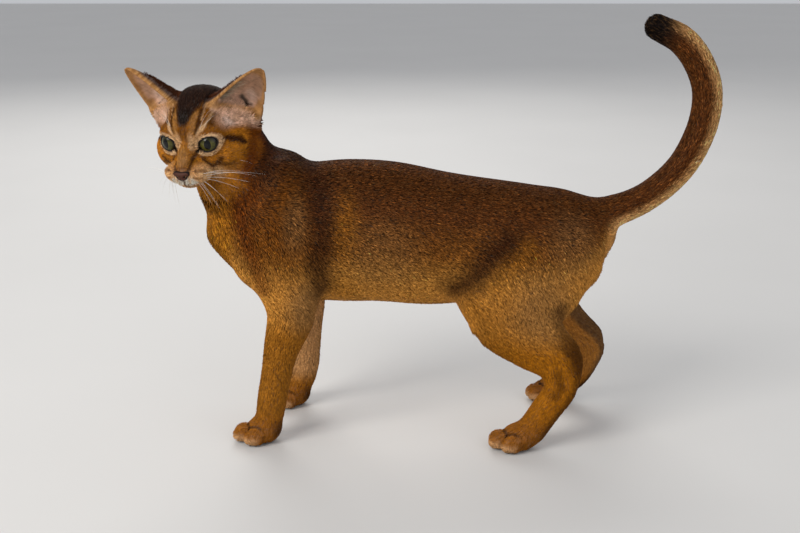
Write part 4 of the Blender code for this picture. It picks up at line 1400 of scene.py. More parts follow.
class Tree:
    """A material's nodes: every one but the shader comes from the method node."""

    def __init__(self, name: str) -> None:
        """A new material of this name with one Principled shader."""
        self.material = bpy.data.materials.new(name)
        self.material.use_nodes = True
        self.nodes = self.material.node_tree.nodes
        self.shader = self.nodes["Principled BSDF"]

    def node(self, kind: str, settings: Mapping[str, Any], sockets: Mapping, out: int | str = 0) -> Tone:
        """Adds a node, sets it up and links its inputs.

        Args:
            kind: The node's type.
            settings: Its own settings, set first; "stops" are a colour ramp's places and colours.
            sockets: Values or tones for its inputs.
            out: The output to wrap.

        Returns:
            The wrapped output.
        """
        made = self.nodes.new(kind)
        for key, value in settings.items():
            if key == "stops":
                self._stops(made.color_ramp.elements, value)
            else:
                setattr(made, key, value)
        for key, value in sockets.items():
            self.feed(made.inputs[key], value)
        return Tone(self, made.outputs[out])

    @staticmethod
    def _stops(elements: Any, stops: Sequence[tuple[float, Array]]) -> None:
        """Gives a ramp its stops."""
        while len(elements) < len(stops):
            elements.new(1)
        for element, (at, colour) in zip(elements, stops):
            element.position = at
            element.color = (*colour, 1)

    def feed(self, socket: bpy.types.NodeSocket, value: Any) -> None:
        """Links a tone to an input, or sets the input's own value."""
        if isinstance(value, Tone):
            self.material.node_tree.links.new(value.socket, socket)
        elif isinstance(value, np.ndarray):
            socket.default_value = (*value, 1) if len(socket.default_value) == 4 else tuple(value)
        else:
            socket.default_value = value

    def set(self, **values: Any) -> None:
        """Sets or links the shader's inputs; underscores stand for spaces."""
        for key, value in values.items():
            self.feed(self.shader.inputs[key.replace("_", " ")], value)

    def mix(self, first: Any, second: Any, share: Tone | float, way: str = "MIX") -> Tone:
        """Mixes two colours."""
        settings = {"data_type": "RGBA", "blend_type": way}
        return self.node("ShaderNodeMix", settings, {0: share, 6: first, 7: second}, 2)

    def attribute(self, name: str, out: str = "Fac") -> Tone:
        """A number or, with the output Color, a colour that the mesh carries."""
        return self.node("ShaderNodeAttribute", {"attribute_name": name}, {}, out)

    def place(self) -> Tone:
        """The piece's own coordinates."""
        return self.node("ShaderNodeTexCoord", {}, {}, "Object")

    def map_of(self, name: str, scale: Triple = (1, 1, 1)) -> Tone:
        """One of the piece's UV maps, stretched."""
        spots = self.node("ShaderNodeUVMap", {"uv_map": name}, {})
        return self.node("ShaderNodeMapping", {}, {"Vector": spots, "Scale": scale})

    def noise(self, place: Tone, scale: float, detail: float = 3) -> Tone:
        """A noise of the given scale, from 0 to 1."""
        return self.node("ShaderNodeTexNoise", {}, {"Vector": place, "Scale": scale, "Detail": detail})

    def bump(self, height: Tone, strength: float, distance: float) -> Tone:
        """A normal that leans as the height does."""
        return self.node("ShaderNodeBump", {}, {"Height": height, "Strength": strength, "Distance": distance})


@dataclass(frozen=True)
class PeltFinish:
    """Short fur seen as a surface: the markings, broken by streaks along the hair, and their relief."""

    name: str = "pelt"
    fine: float = 1.5
    coarse: float = 0.42
    relief: float = 0.0007

    def material(self) -> bpy.types.Material:
        """Builds the finish."""
        tree = Tree(self.name)
        base = tree.attribute("markings", "Color")
        fine = tree.noise(tree.map_of("lay", (0.22, 1, 1)), self.fine)
        coarse = tree.noise(tree.map_of("lay", (0.35, 1, 1)), self.coarse, 2)
        bare = tree.attribute("bare")
        streaks = 0.5 + (fine * 0.62 + coarse * 0.38 - 0.5) * (1 - bare * 0.75)
        dark = tree.mix(base, np.array([0.36, 0.3, 0.26]), 1, "MULTIPLY")
        light = tree.mix(base, np.array([0.62, 0.58, 0.52]), 0.1)
        tree.set(
            Base_Color=tree.mix(dark, light, streaks.between(0.34, 0.66)),
            Roughness=streaks.between(0.2, 0.9) * -0.16 + 0.72,
            Normal=tree.bump(streaks, 0.7, self.relief),
            Specular_IOR_Level=0.05,
        )
        return tree.material


@dataclass(frozen=True)
class HairFinish:
    """Tufts of fur: their own markings, a little uneven along the hair, with a soft gleam."""

    name: str = "hair"
    roughness: float = 0.52
    grain: float = 620

    def material(self) -> bpy.types.Material:
        """Builds the finish."""
        tree = Tree(self.name)
        base = tree.attribute("markings", "Color")
        uneven = tree.noise(tree.place(), self.grain, 2)
        shade = tree.mix(base, np.array([0.74, 0.7, 0.66]), 1 - uneven.between(0.35, 0.62), "MULTIPLY")
        tree.set(Base_Color=shade, Roughness=self.roughness + uneven * 0.12, Specular_IOR_Level=0.05)
        return tree.material


@dataclass(frozen=True)
class WhiskerFinish:
    """White bristle, a little grey in places."""

    name: str = "whisker"

    def material(self) -> bpy.types.Material:
        """Builds the finish."""
        tree = Tree(self.name)
        cloud = tree.noise(tree.place(), 240, 2)
        shade = tree.mix(np.array([0.82, 0.79, 0.73]), np.array([0.55, 0.5, 0.43]), cloud.between(0.4, 0.7))
        tree.set(Base_Color=shade, Roughness=cloud * 0.2 + 0.25, Specular_IOR_Level=0.5)
        return tree.material


@dataclass(frozen=True)
class LeatherFinish:
    """Bare skin of the nose and the lids: fine pebbled grain, and darker where the attribute rim is high: all
    over the lids, towards the nose's edge, and as painted shade in the nostrils, their slits and the nose's
    middle groove.
    """

    name: str
    base: Triple
    edge: Triple
    pebble: float = 1500
    rough: float = 0.42

    def material(self) -> bpy.types.Material:
        """Builds the finish."""
        tree = Tree(self.name)
        place = tree.place()
        cells = tree.node("ShaderNodeTexVoronoi", {}, {"Vector": place, "Scale": self.pebble}, "Distance")
        rim = tree.attribute("rim")
        cloud = tree.noise(place, 400)
        dark = rim + (cloud - 0.5) * 0.5
        shade = tree.mix(np.array(self.base), np.array(self.edge), dark.between(0.1, 0.9))
        tree.set(
            Base_Color=shade,
            Roughness=cells.between(0, 0.7) * 0.2 + self.rough,
            Normal=tree.bump(1 - cells, 0.35, 0.0002),
            Specular_IOR_Level=0.2,
        )
        return tree.material


@dataclass(frozen=True)
class EyeFinish:
    """A hazel-green iris with fine fibres round an upright oval pupil, under a wet clear coat."""

    name: str = "eye"
    iris: float = 0.585
    pupil: tuple[float, float] = (0.245, 0.35)
    ring: Triple = (0.013, 0.01, 0.004)
    middle: Triple = (0.072, 0.068, 0.013)
    inner: Triple = (0.125, 0.105, 0.02)
    white: Triple = (0.012, 0.008, 0.006)

    def material(self) -> bpy.types.Material:
        """Builds the finish: the map gaze is the eye seen from in front, 20 mm to the unit."""
        tree = Tree(self.name)
        spots = tree.map_of("gaze")
        across, up = (tree.node("ShaderNodeSeparateXYZ", {}, {0: spots}, out) - 0.5 for out in "XY")
        radius = (across * across + up * up).root() * 2
        fibres = tree.noise(tree.map_of("spokes", (34, 1.4, 1)), 1, 4)
        cloud = tree.noise(spots, 22)
        wide, tall = self.pupil
        slit = ((across * across) * (4 / wide**2) + (up * up) * (4 / tall**2)).root()
        gold = (radius + (fibres - 0.5) * 0.16).between(0.4, 0.17)
        colour = tree.mix(np.array(self.middle), np.array(self.inner), gold)
        colour = tree.mix(colour, np.array(self.ring), (radius + (cloud - 0.5) * 0.1).between(0.44, 0.575))
        colour = tree.mix(colour, np.array([0.45, 0.42, 0.36]), fibres.between(0.5, 0.36) * 0.9, "MULTIPLY")
        colour = tree.mix(colour, np.array(self.white), radius.between(self.iris - 0.012, self.iris + 0.012))
        # Painted shade: the upper iris is darkened as if shadowed by the upper lid.
        colour = tree.mix(colour, np.array([0.3, 0.28, 0.26]), (up * 2).between(0.06, 0.4), "MULTIPLY")
        colour = tree.mix(colour, np.array([0.002, 0.002, 0.002]), slit.between(1.06, 0.96))
        tree.set(
            Base_Color=colour,
            Roughness=fibres * 0.1 + 0.12,
            Coat_Weight=0.35,
            Coat_Roughness=0.03,
            Specular_IOR_Level=0.08,
        )
        return tree.material


# ------------------------------ Pieces


def placed(name: str, data: bpy.types.ID) -> bpy.types.Object:
    """A new object with some data, in the scene."""
    made = bpy.data.objects.new(name, data)
    bpy.context.scene.collection.objects.link(made)
    return made


@dataclass
class Surface:
    """A mesh in the body's millimetres with what lies on it.

    Attributes:
        points: Places.
        faces: Corners of each face, all faces alike.
        maps: UV maps by name, one pair for each corner of each face.
        colours: One colour for each place, as the attribute "markings".
        numbers: One number for each place, by name.
        normals: One shading normal for each place, where it isn't the mesh's own.
    """

    points: Array
    faces: Array
    maps: dict[str, Array] = field(default_factory=dict)
    colours: Array | None = None
    numbers: dict[str, Array] = field(default_factory=dict)
    normals: Array | None = None

    def piece(self, name: str, material: bpy.types.Material, slot: str, nodes: Sequence[str] = ()) -> None:
        """Writes the mesh, dresses it and lets it ride on the body.

        Args:
            name: The piece's name.
            material: Its finish.
            slot: The record's slot that the finish stands for; not used.
            nodes: The solids that it replaces.
        """
        mesh = bpy.data.meshes.new(name)
        count, sides = self.faces.shape
        mesh.vertices.add(len(self.points))
        mesh.vertices.foreach_set("co", to_model(self.points).astype(np.float32).ravel())
        mesh.loops.add(count * sides)
        mesh.loops.foreach_set("vertex_index", self.faces.astype(np.int32).ravel())
        mesh.polygons.add(count)
        mesh.polygons.foreach_set("loop_start", np.arange(0, count * sides, sides, dtype=np.int32))
        mesh.update(calc_edges=True)
        for key, spots in self.maps.items():
            mesh.uv_layers.new(name=key).uv.foreach_set("vector", spots.astype(np.float32).ravel())
        if self.colours is not None:
            layer = mesh.color_attributes.new("markings", "FLOAT_COLOR", "POINT")
            shades = np.concatenate([np.clip(self.colours, 0, 1), np.ones((len(self.points), 1))], axis=1)
            layer.data.foreach_set("color", shades.astype(np.float32).ravel())
        for key, values in self.numbers.items():
            mesh.attributes.new(key, "FLOAT", "POINT").data.foreach_set("value", values.astype(np.float32))
        mesh.shade_smooth()
        if self.normals is not None:
            mesh.normals_split_custom_set_from_vertices(self.normals.astype(np.float32))
        mesh.materials.append(material)
        made = placed(name, mesh)
        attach(made, "root")
        if nodes:
            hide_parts(*nodes)
        LOG.info("%s: %d points, %d triangles", name, len(self.points), count * (sides - 2))


def joined(parts: Sequence[Surface]) -> Surface:
    """Several surfaces of one kind, with the same numbers and no maps, as one mesh."""
    starts = np.cumsum([0] + [len(p.points) for p in parts])
    return Surface(
        np.concatenate([p.points for p in parts]),
        np.concatenate([p.faces + s for p, s in zip(parts, starts)]),
        numbers={key: np.concatenate([p.numbers[key] for p in parts]) for key in parts[0].numbers},
    )


def squares(points: Array, faces: Array) -> Array:
    """The cross product of each four-sided face's diagonals: along its normal, twice its area long."""
    corners = points[faces]
    return np.cross(corners[:, 2] - corners[:, 0], corners[:, 3] - corners[:, 1])


def grid_faces(rows: int, columns: int) -> Array:
    """Faces of a grid of rows by columns, whose last column meets the first."""
    i, j = np.meshgrid(np.arange(rows - 1), np.arange(columns), indexing="ij")
    after = (j + 1) % columns
    quads = [i * columns + j, i * columns + after, (i + 1) * columns + after, (i + 1) * columns + j]
    return np.stack([q.ravel() for q in quads], axis=1)


def tubes(lines: Array, radii: Array, sides: int = 5, closed: bool = False) -> Surface:
    """Round tubes along several lines at once.

    Every place is the line's, plus the radius times (cos a, sin a) in two unit vectors square to it;
    an open tube's ends have next to no radius.

    Args:
        lines: Places, by tube and by step.
        radii: Radius at each of them.
        sides: Corners of the tube's section.
        closed: Whether each line meets its own start.

    Returns:
        The tubes as one surface.
    """
    count, steps, _ = lines.shape
    around_it = np.roll(lines, -1, axis=1) - np.roll(lines, 1, axis=1)
    ahead = unit(around_it if closed else np.gradient(lines, axis=1))
    across = unit(np.cross(ahead, unit(np.array([0.31, 0.44, 0.84]))))
    other = np.cross(ahead, across)
    turn = around(sides)
    ring = across[:, :, None] * np.cos(turn)[:, None] + other[:, :, None] * np.sin(turn)[:, None]
    points = lines[:, :, None] + ring * radii[:, :, None, None]
    faces = grid_faces(steps, sides)
    if closed:
        first = np.arange(sides)
        last = (steps - 1) * sides + first
        faces = np.concatenate([faces, np.stack([last, np.roll(last, -1), np.roll(first, -1), first], axis=1)])
    offset = np.arange(count)[:, None, None] * steps * sides
    return Surface(points.reshape(-1, 3), (faces[None] + offset).reshape(-1, 4))


class Pelt:
    """The bare skin of head, trunk, legs and tail as one mesh, and the field that it came from."""

    rounds = 6

    def __init__(self) -> None:
        """Fills the field, takes its level surface, evens it out and presses the folds in."""
        self.field = skin_field()
        points, self.faces = self.field.surface()
        self.points = relaxed(points, self.faces, self.field, self.rounds)
        self.normals = self._normals()
        self.points = self.points - self.normals * self._folds()[:, None]
        self.normals = self._normals()

    def _normals(self) -> Array:
        """Each point's normal: the sum of its faces' cross products of their diagonals."""
        square = squares(self.points, self.faces)
        total = np.zeros_like(self.points)
        for k in range(4):
            for axis in range(3):
                total[:, axis] += np.bincount(self.faces[:, k], square[:, axis], len(self.points))
        return unit(total)

    def _folds(self) -> Array:
        """How deep each point is pressed in: the lips' line, and ridges inside the ears."""
        local = HEAD.local(self.points)
        depth = MOUTH.groove(local)
        low = self.points[:, 2] < 26
        for leg in LEGS.values():
            depth[low] += 0.9 * leg.between_toes(self.points[low])[0]
        for _, a, b, r, off in each_ear(local):
            inside = (off < -0.1) * ease(r, 0.08, 0.2) * ease(r, 0.95, 0.75)
            inside = inside * ease(b, -1, -3) * (off > -4)
            ridge = np.sin(a * 1.15 + r * 5) * 0.3 + np.exp(-(((a + 4 - 9 * r) / 1.6) ** 2)) * -0.7
            depth = depth + ridge * inside
        for mark in CANAL_MARKS:
            depth = depth + 0.7 * mark.share(local)
        return depth

    def surface(self) -> Surface:
        """The skin with its markings and its maps.

        Returns:
            The surface, with OFBake as its unwrap and lay as millimetres along and across the hair.
        """
        maps = {"OFBake": ATLAS.corners(self.points, self.faces), "lay": ATLAS.lay(self.points, self.faces)}
        bare = np.max([ear.inside(HEAD.local(self.points)) for ear in EARS.values()], axis=0)
        return Surface(self.points, self.faces, maps, MARKINGS.colours(self.points), {"bare": bare})

    def roots(self, density: Callable[[Array], Array], rng: np.random.Generator) -> tuple[Array, Array]:
        """Random places on the skin and their normals.

        Args:
            density: How many to the square millimetre, by place.
            rng: The source of chance.

        Returns:
            Places and normals.
        """
        corners = self.points[self.faces]
        area = lengths(squares(self.points, self.faces)) / 2
        count = rng.poisson(area * density(corners.mean(axis=1)))
        which = np.repeat(np.arange(len(self.faces)), count)
        s, t = rng.random((2, len(which), 1))
        weights = ((1 - s) * (1 - t), s * (1 - t), s * t, (1 - s) * t)
        places = sum(w * corners[which, k] for k, w in enumerate(weights))
        normals = sum(w * self.normals[self.faces[which, k]] for k, w in enumerate(weights))
        return places, unit(normals)


class Region(Enum):
    """The coat's pieces, each with the record's slot for it."""

    HEAD = ("coat_head", "crown")
    EARS = ("coat_ears", "ear")
    NECK = ("coat_neck", "shoulder")
    SHOULDERS = ("coat_shoulders", "shoulder")
    FLANKS = ("coat_flanks", "flank")
    HIPS = ("coat_hips", "flank")
    FORELEGS = ("coat_forelegs", "leg")
    HINDLEGS = ("coat_hindlegs", "leg")
    TAIL = ("coat_tail", "flank")


@dataclass(frozen=True)
class Fur:
    """The coat: where tufts grow, how long and wide they are and which way they lie."""

    seed: int = 7
    ticking: float = 0.36
    patch: float = 0.003
    leg_top: float = 104
    nose: Triple = (14.4, 0, -19.2)
    root_depth: float = 0.15
    head_fade: tuple[float, float] = (56, 44)

    def region(self, points: Array) -> Array:
        """Each root's piece, as an index in the regions' order."""
        x, _, z = points.T
        local = HEAD.local(points)
        on = [
            (r > 0.1) & (np.abs(off) < 4) & (b < 3) & (np.sign(local[:, 1]) == SIDES[ear.hand])
            for ear, _, b, r, off in each_ear(local)
        ]
        masks = {
            Region.SHOULDERS: x < -36,
            Region.HIPS: x > 52,
            Region.NECK: (x < -70) & (z > 176),
            Region.FORELEGS: (z < self.leg_top) & (x < -20),
            Region.HINDLEGS: (z < self.leg_top) & (x > 60),
            Region.TAIL: (x > TRUNK.back_end) & (z > TAIL_HEIGHT),
            Region.HEAD: head_reach(local) < HEAD_EDGE,
            Region.EARS: on[0] | on[1],
        }
        regions = list(Region)
        out = np.full(len(points), regions.index(Region.FLANKS))
        for region, mask in masks.items():
            out[mask] = regions.index(region)
        return out

    def density(self, points: Array) -> Array:
        """Tufts to the square millimetre."""
        x, _, z = points.T
        local = HEAD.local(points)
        out = 1.8 + 0.1 * ease(z, 100, 60) + 0.9 * ease(z, 30, 12) + 0.25 * ease(x, 158, 176)
        out = mixed(out, 2.3, ease(head_reach(local), *self.head_fade))
        for eye in EYES.values():
            seen = eye.axes().local(points)
            lid = (seen[:, 0] > -3) & (lengths(seen) < eye.lid_reach)
            out = out * np.where(lid, ease(eye.ring(seen[:, 1], seen[:, 2]), 1.26, 1.5), 1)
        out = out * ease(lengths((local - self.nose) / (4.2, 6.4, 4.2)), 0.98, 1.12)
        out = out * (1 - 0.9 * MOUTH.shade(local))
        for _, _, b, r, off in each_ear(local):
            inside = (off < 0.1) & (off > -6) & (r > -0.02) & (b < -0.6)
            on = (np.abs(off) < 5) & (b < 4) & (r < 1.3)
            rim = on * np.maximum(ease(b, -8, -5) * ease(r, -0.35, -0.05), ease(r, 0.55, 0.75))
            out = out * np.where(inside, 0, 1) * (1 - rim)
        return out * (z > 1.6)

    def lie(self, points: Array) -> Array:
        """Which way the hair lies: back along the body, down the legs, out along the tail and ears.

        Args:
            points: Roots in the body's millimetres.

        Returns:
            One way for each, not yet laid on the skin.
        """
        x, y, z = points.T
        high = TRUNK.height_share(points)
        side = 0.12 * np.sign(y) * ease(high, 1, 0.4)
        way = np.stack([np.ones_like(x), side, -0.55 * ease(high, 1.1, -0.2)], axis=1)
        turns = (
            ((0.25, 0, -1), ease(x, -96, -122)),
            ((0.62, 0, -0.78), ease(lengths(points - (-116, 0, 205)), 52, 28)),
            ((0.45, 0, -0.9), ease(lengths((points - (-86, 0, 140)) / (34, 80, 40)), 1.2, 0.6)),
            ((0.4, 0, -0.92), ease(lengths((points - (104, 0, 120)) / (50, 80, 44)), 1.2, 0.6) * 0.9),
        )
        for towards, share in turns:
            way = mixed(way, np.array(towards), share)
        for leg in LEGS.values():
            line = leg.line()
            ahead = -unit(np.gradient(line[:, :3], axis=0))
            down = np.stack([np.interp(z, line[:, 2], ahead[:, k]) for k in range(3)], axis=1)
            own = leg.owns(points) & (x < 165)
            way = mixed(way, down, own * ease(z, 118, 84))
            way = mixed(way, unit(leg.paw_axes().rows[0] - (0, 0, 0.5)), own * ease(z, 24, 12))
        way = mixed(way, TAIL.nearest(points)[2], ease(x, 140, 156) * (z > TAIL_HEIGHT))
        return self._on_head(points, way)

    @staticmethod
    def _on_head(points: Array, way: Array) -> Array:
        """On the head the hair leaves the nose, and on the ears it runs to their tips."""
        local = HEAD.local(points)
        from_nose = local - (20, 0, -13)
        from_nose[:, 0] = from_nose[:, 0] * 1.6
        from_nose[:, 2] = from_nose[:, 2] * 0.8 - 3 * ease(np.abs(local[:, 1]), 6, 20)
        way = mixed(way, unit(from_nose) @ HEAD.rows, ease(head_reach(local), 52, 42))
        for ear, on in zip(EARS.values(), on_ears(local, -0.02, 0.2)):
            way = mixed(way, unit(ear.ends()[2] - ear.frame()[0]) @ HEAD.rows, on)
        return way

    def sizes(self, points: Array) -> tuple[Array, Array]:
        """The length and width of the tufts, in millimetres."""
        x, _, z = points.T
        local = HEAD.local(points)
        near = ease(head_reach(local), *self.head_fade)
        foot = ease(z, 30, 12)
        long = 4.8 - 1 * ease(z, 110, 60) * (x < 160) - 2.6 * foot
        wide = 0.48 - 0.06 * ease(z, 100, 50) * (x < 160) - 0.08 * foot
        long = mixed(long, 4.4 - 2.3 * ease(local[:, 0] - 0.25 * local[:, 2], -30, -4), near)
        wide = mixed(wide, 0.42 - 0.06 * ease(local[:, 0], -16, 0), near)
        for on in on_ears(local, -0.02, 0.15):
            long, wide = mixed(long, 1.3, on), mixed(wide, 0.22, on)
        return long, wide

    def loose(self, points: Array) -> Array:
        """How far the hair stands out beyond its usual height: more below the belly, chest and tail."""
        x, _, z = points.T
        belly = ease(TRUNK.height_share(points), -0.72, -0.95) * ease(x, -70, -50) * ease(x, 66, 46)
        chest = ease(x, -118, -130) * ease(z, 196, 176)
        buttock = ease(x, 134, 142) * ease(z, 156, 146) * ease(z, 108, 118)
        out = 1 + 1.3 * belly + 0.9 * chest + 0.8 * buttock + 0.35 * ease(x, 158, 176)
        for _, _, b, r, off in each_ear(HEAD.local(points)):
            out = out - 0.75 * ease(r, -0.2, 0.15) * (np.abs(off) < 5) * (b < 4) * (r < 1.3)
        return np.maximum(out, 0.2)

    def tick(self, points: Array) -> Array:
        """How strongly the tips are banded: much on back, flanks, thighs and tail, little elsewhere."""
        local = HEAD.local(points)
        near = ease(head_reach(local), *self.head_fade)
        legs = ease(points[:, 2], 100, 70) * (points[:, 0] < 160)
        out = 0.45 + 0.55 * ease(TRUNK.height_share(points), -0.8, 0.1)
        out = out * (1 - 0.6 * legs) * (1 - 0.55 * near)
        for _, _, b, r, off in each_ear(local):
            out = out * (1 - 0.8 * ((r > 0.05) & (np.abs(off) < 4) & (b < 4) & (r < 1.2)))
        before = np.abs(local) * (-1, 1, 1) - (-19.5, 25, 11.8)
        return out * (1 - 0.7 * ease(lengths(before / (13, 13, 9)), 1.2, 0.7))

    def pieces(self, pelt: Pelt) -> dict[Region, Surface]:
        """Grows every tuft, and sorts them by region.

        A tuft is a closed sliver of four faces: its root just under the skin, a corner at each side of
        its middle, and a tip at the coat's depth. Middle and tip are slid along the field's slope.

        Args:
            pelt: The skin.

        Returns:
            Each region's surface.
        """
        rng = np.random.default_rng(self.seed)
        roots, normals = pelt.roots(self.density, rng)
        long, wide = self.sizes(roots)
        loose = self.loose(roots)
        long = long * rng.uniform(0.75, 1.2, len(roots)) * (0.4 + 0.6 * loose)
        wide = wide * rng.uniform(0.8, 1.25, len(roots))
        way = unit(self.lie(roots)) + rng.normal(0, 0.13, roots.shape)
        way = unit(way - normals * (way * normals).sum(axis=1, keepdims=True))
        depth = COAT.depth(roots[:, 0], roots[:, 1], roots[:, 2])
        low = roots - normals * self.root_depth
        half_high = depth * rng.uniform(0.55, 0.95, len(roots))
        middle = pelt.field.settle(roots + way * (long * 0.5)[:, None], half_high)
        high = depth * loose * rng.uniform(0.65, 1.25, len(roots))
        tip = pelt.field.settle(roots + way * long[:, None], high)
        ahead = unit(tip - low)
        across = unit(np.cross(ahead, normals)) * (wide / 2)[:, None]
        points = np.stack([low, middle + across, middle - across, tip], axis=1)
        out_facing = unit(np.stack([normals, normals + across, normals - across, normals], axis=1))
        base = MARKINGS.colours(roots)
        strong = self.tick(roots)[:, None]
        chance = rng.normal(0, 1, (3, len(roots), 1))
        body = base * np.exp(strong * self.ticking * chance[0])
        tip_shade = body * np.exp(strong * (0.75 * chance[1] - 0.35))
        grey = strong * np.clip(chance[2] - 0.7, 0, 1) * 0.7
        tip_shade = mixed(tip_shade, Shade.GREY.colour * 1.1, grey[:, 0])
        shades = np.stack([body * 0.9, body * 1.08, body * 1.08, tip_shade], axis=1)
        spots = ATLAS.place(roots, ATLAS.part(roots))
        spots = spots[:, None] + np.array([[-0.5, 0], [0, 0.5], [0, -0.5], [0.5, 0]]) * self.patch
        sides = np.array([[0, 1, 2], [3, 2, 1], [0, 3, 1], [0, 2, 3]])
        region = self.region(roots)
        out = {}
        for index, kind in enumerate(Region):
            mine = np.nonzero(region == index)[0]
            faces = (sides[None] + np.arange(len(mine))[:, None, None] * 4).reshape(-1, 3)
            out[kind] = Surface(
                points[mine].reshape(-1, 3),
                faces,
                {"OFBake": spots[mine][:, sides].reshape(-1, 2)},
                shades[mine].reshape(-1, 3),
                normals=out_facing[mine].reshape(-1, 3),
            )
        return out


@dataclass(frozen=True)
class Eyeball:
    """A wet globe with a raised cornea, turned as the eye looks."""

    eye: EyeSet
    steps: int = 40
    around: int = 56
    cornea: float = 0.75
    spread: float = 0.62
    view: float = 20

    def surface(self) -> Surface:
        """The globe: a sphere by angle from ahead and angle round, lifted by the cornea's bell.

        Returns:
            The surface, with gaze as the view from in front and spokes as angle and radius.
        """
        axes = self.eye.axes()
        up = unit(HEAD.rows[2] - axes.rows[0] * (HEAD.rows[2] @ axes.rows[0]))
        side = np.cross(up, axes.rows[0])
        polar = np.linspace(0.001, math.pi - 0.001, self.steps)[:, None]
        turn = around(self.around)[None]
        radius = self.eye.ball - 0.05 + self.cornea * np.exp(-((polar / self.spread) ** 2))
        s = radius * np.sin(polar) * np.cos(turn)
        u = radius * np.sin(polar) * np.sin(turn)
        f, polar, turn = np.broadcast_arrays(radius * np.cos(polar), polar, turn / math.pi)
        local = np.stack([f, s, u], axis=-1).reshape(-1, 3)
        points = axes.origin + local @ np.array([axes.rows[0], side, up])
        faces = grid_faces(self.steps, self.around)[:, ::-1]
        gaze = local[:, 1:] / self.view + 0.5
        spokes = np.stack([turn, polar], axis=-1).reshape(-1, 2)
        angle = spokes[faces]
        angle[:, :, 0] -= np.round((angle[:, :, 0] - angle[:, :1, 0]) / 2) * 2
        return Surface(points, faces, {"gaze": gaze[faces].reshape(-1, 2), "spokes": angle.reshape(-1, 2)})


@dataclass(frozen=True)
class LidRim:
    """The dark bare edge of the lids, with its point towards the nose."""

    eye: EyeSet
    height: float = 9.4
    radius: float = 0.42
    point: float = 2.2
    steps: int = 72

    def surface(self) -> Surface:
        """A closed tube round the opening, on a sphere a little larger than the eyeball.

        Returns:
            The tube: across is a cosine and tall a sine of the angle, with a bell at the inner corner.
        """
        turn = around(self.steps)
        bell = np.exp(-(((turn - math.pi) / 0.34) ** 2))
        w = (self.eye.half_wide + 0.1) * np.cos(turn) - self.point * bell
        t = (self.eye.half_tall + 0.1) * np.sin(turn) - 0.7 * bell
        f = np.sqrt(np.maximum(self.height**2 - w**2 - t**2, 0))
        f = np.maximum(f, 2.2 + 1.6 * bell)
        local = np.stack([f, w * self.eye.side, t], axis=1)
        line = self.eye.axes().place(local)
        made = tubes(line[None], np.full((1, self.steps), self.radius), 8, closed=True)
        made.numbers["rim"] = np.ones(len(made.points))
        return made


@dataclass(frozen=True)
class NoseLeather:
    """The nose pad: a rounded triangle with a middle groove and a nostril on each side."""

    middle: Triple = (13.4, 0, -18.9)
    wide: float = 5.8
    tall: float = 3.4
    crown: float = 2.9
    nostril: float = 2.9
    rows: int = 26
    columns: int = 64

    def surface(self) -> Surface:
        """A dome over a rounded triangle, by share of its radius and angle, closed behind.

        Returns:
            The surface, with rim as how near its edge or a nostril each place lies, which darkens it: the
            nostrils, their slits and the middle groove as painted shade.
        """
        share = np.concatenate([np.linspace(0.004, 1, self.rows), [1.03, 0.9, 0.5, 0.004]])[:, None]
        front = np.concatenate([np.ones(self.rows), np.zeros(4)])[:, None]
        turn = around(self.columns)[None]
        outline = 1 + 0.13 * np.sin(3 * turn) - 0.05 * np.cos(4 * turn)
        s = self.wide * share * outline * np.cos(turn) * (1 + 0.12 * np.sin(turn))
        u = self.tall * share * outline * np.sin(turn)
        dome = self.crown * np.sqrt(np.maximum(1 - (share * 0.94) ** 2, 0))
        aside = np.abs(s) - self.nostril
        nostril = np.exp(-((aside / 1.15) ** 2) - ((u + 0.55 - 0.35 * aside) / 0.72) ** 2)
        slit = np.exp(-(((np.abs(s) - 4.2) / 1) ** 2) - ((u + 0.9) / 0.45) ** 2)
        groove = 0.45 * np.exp(-((s / 0.35) ** 2)) * ease(-u, -1.5, 0.5)
        f = dome - 1.9 * nostril - 0.8 * slit - groove
        f = np.where(front > 0.5, f, -0.8 - 2.4 * (share < 0.95))
        local = np.stack(np.broadcast_arrays(f, s, u), axis=-1).reshape(-1, 3)
        # The nostrils, their slits and the middle groove are darkened as painted shade; the leather also
        # darkens towards its edge.
        dark = np.clip(nostril * 1.2 + slit + groove * 0.8 + ease(share, 0.82, 1), 0, 1)
        made = Surface(HEAD.place(local + self.middle), grid_faces(len(share), self.columns)[:, ::-1])
        made.numbers["rim"] = (dark + 0 * s).ravel()
        return made


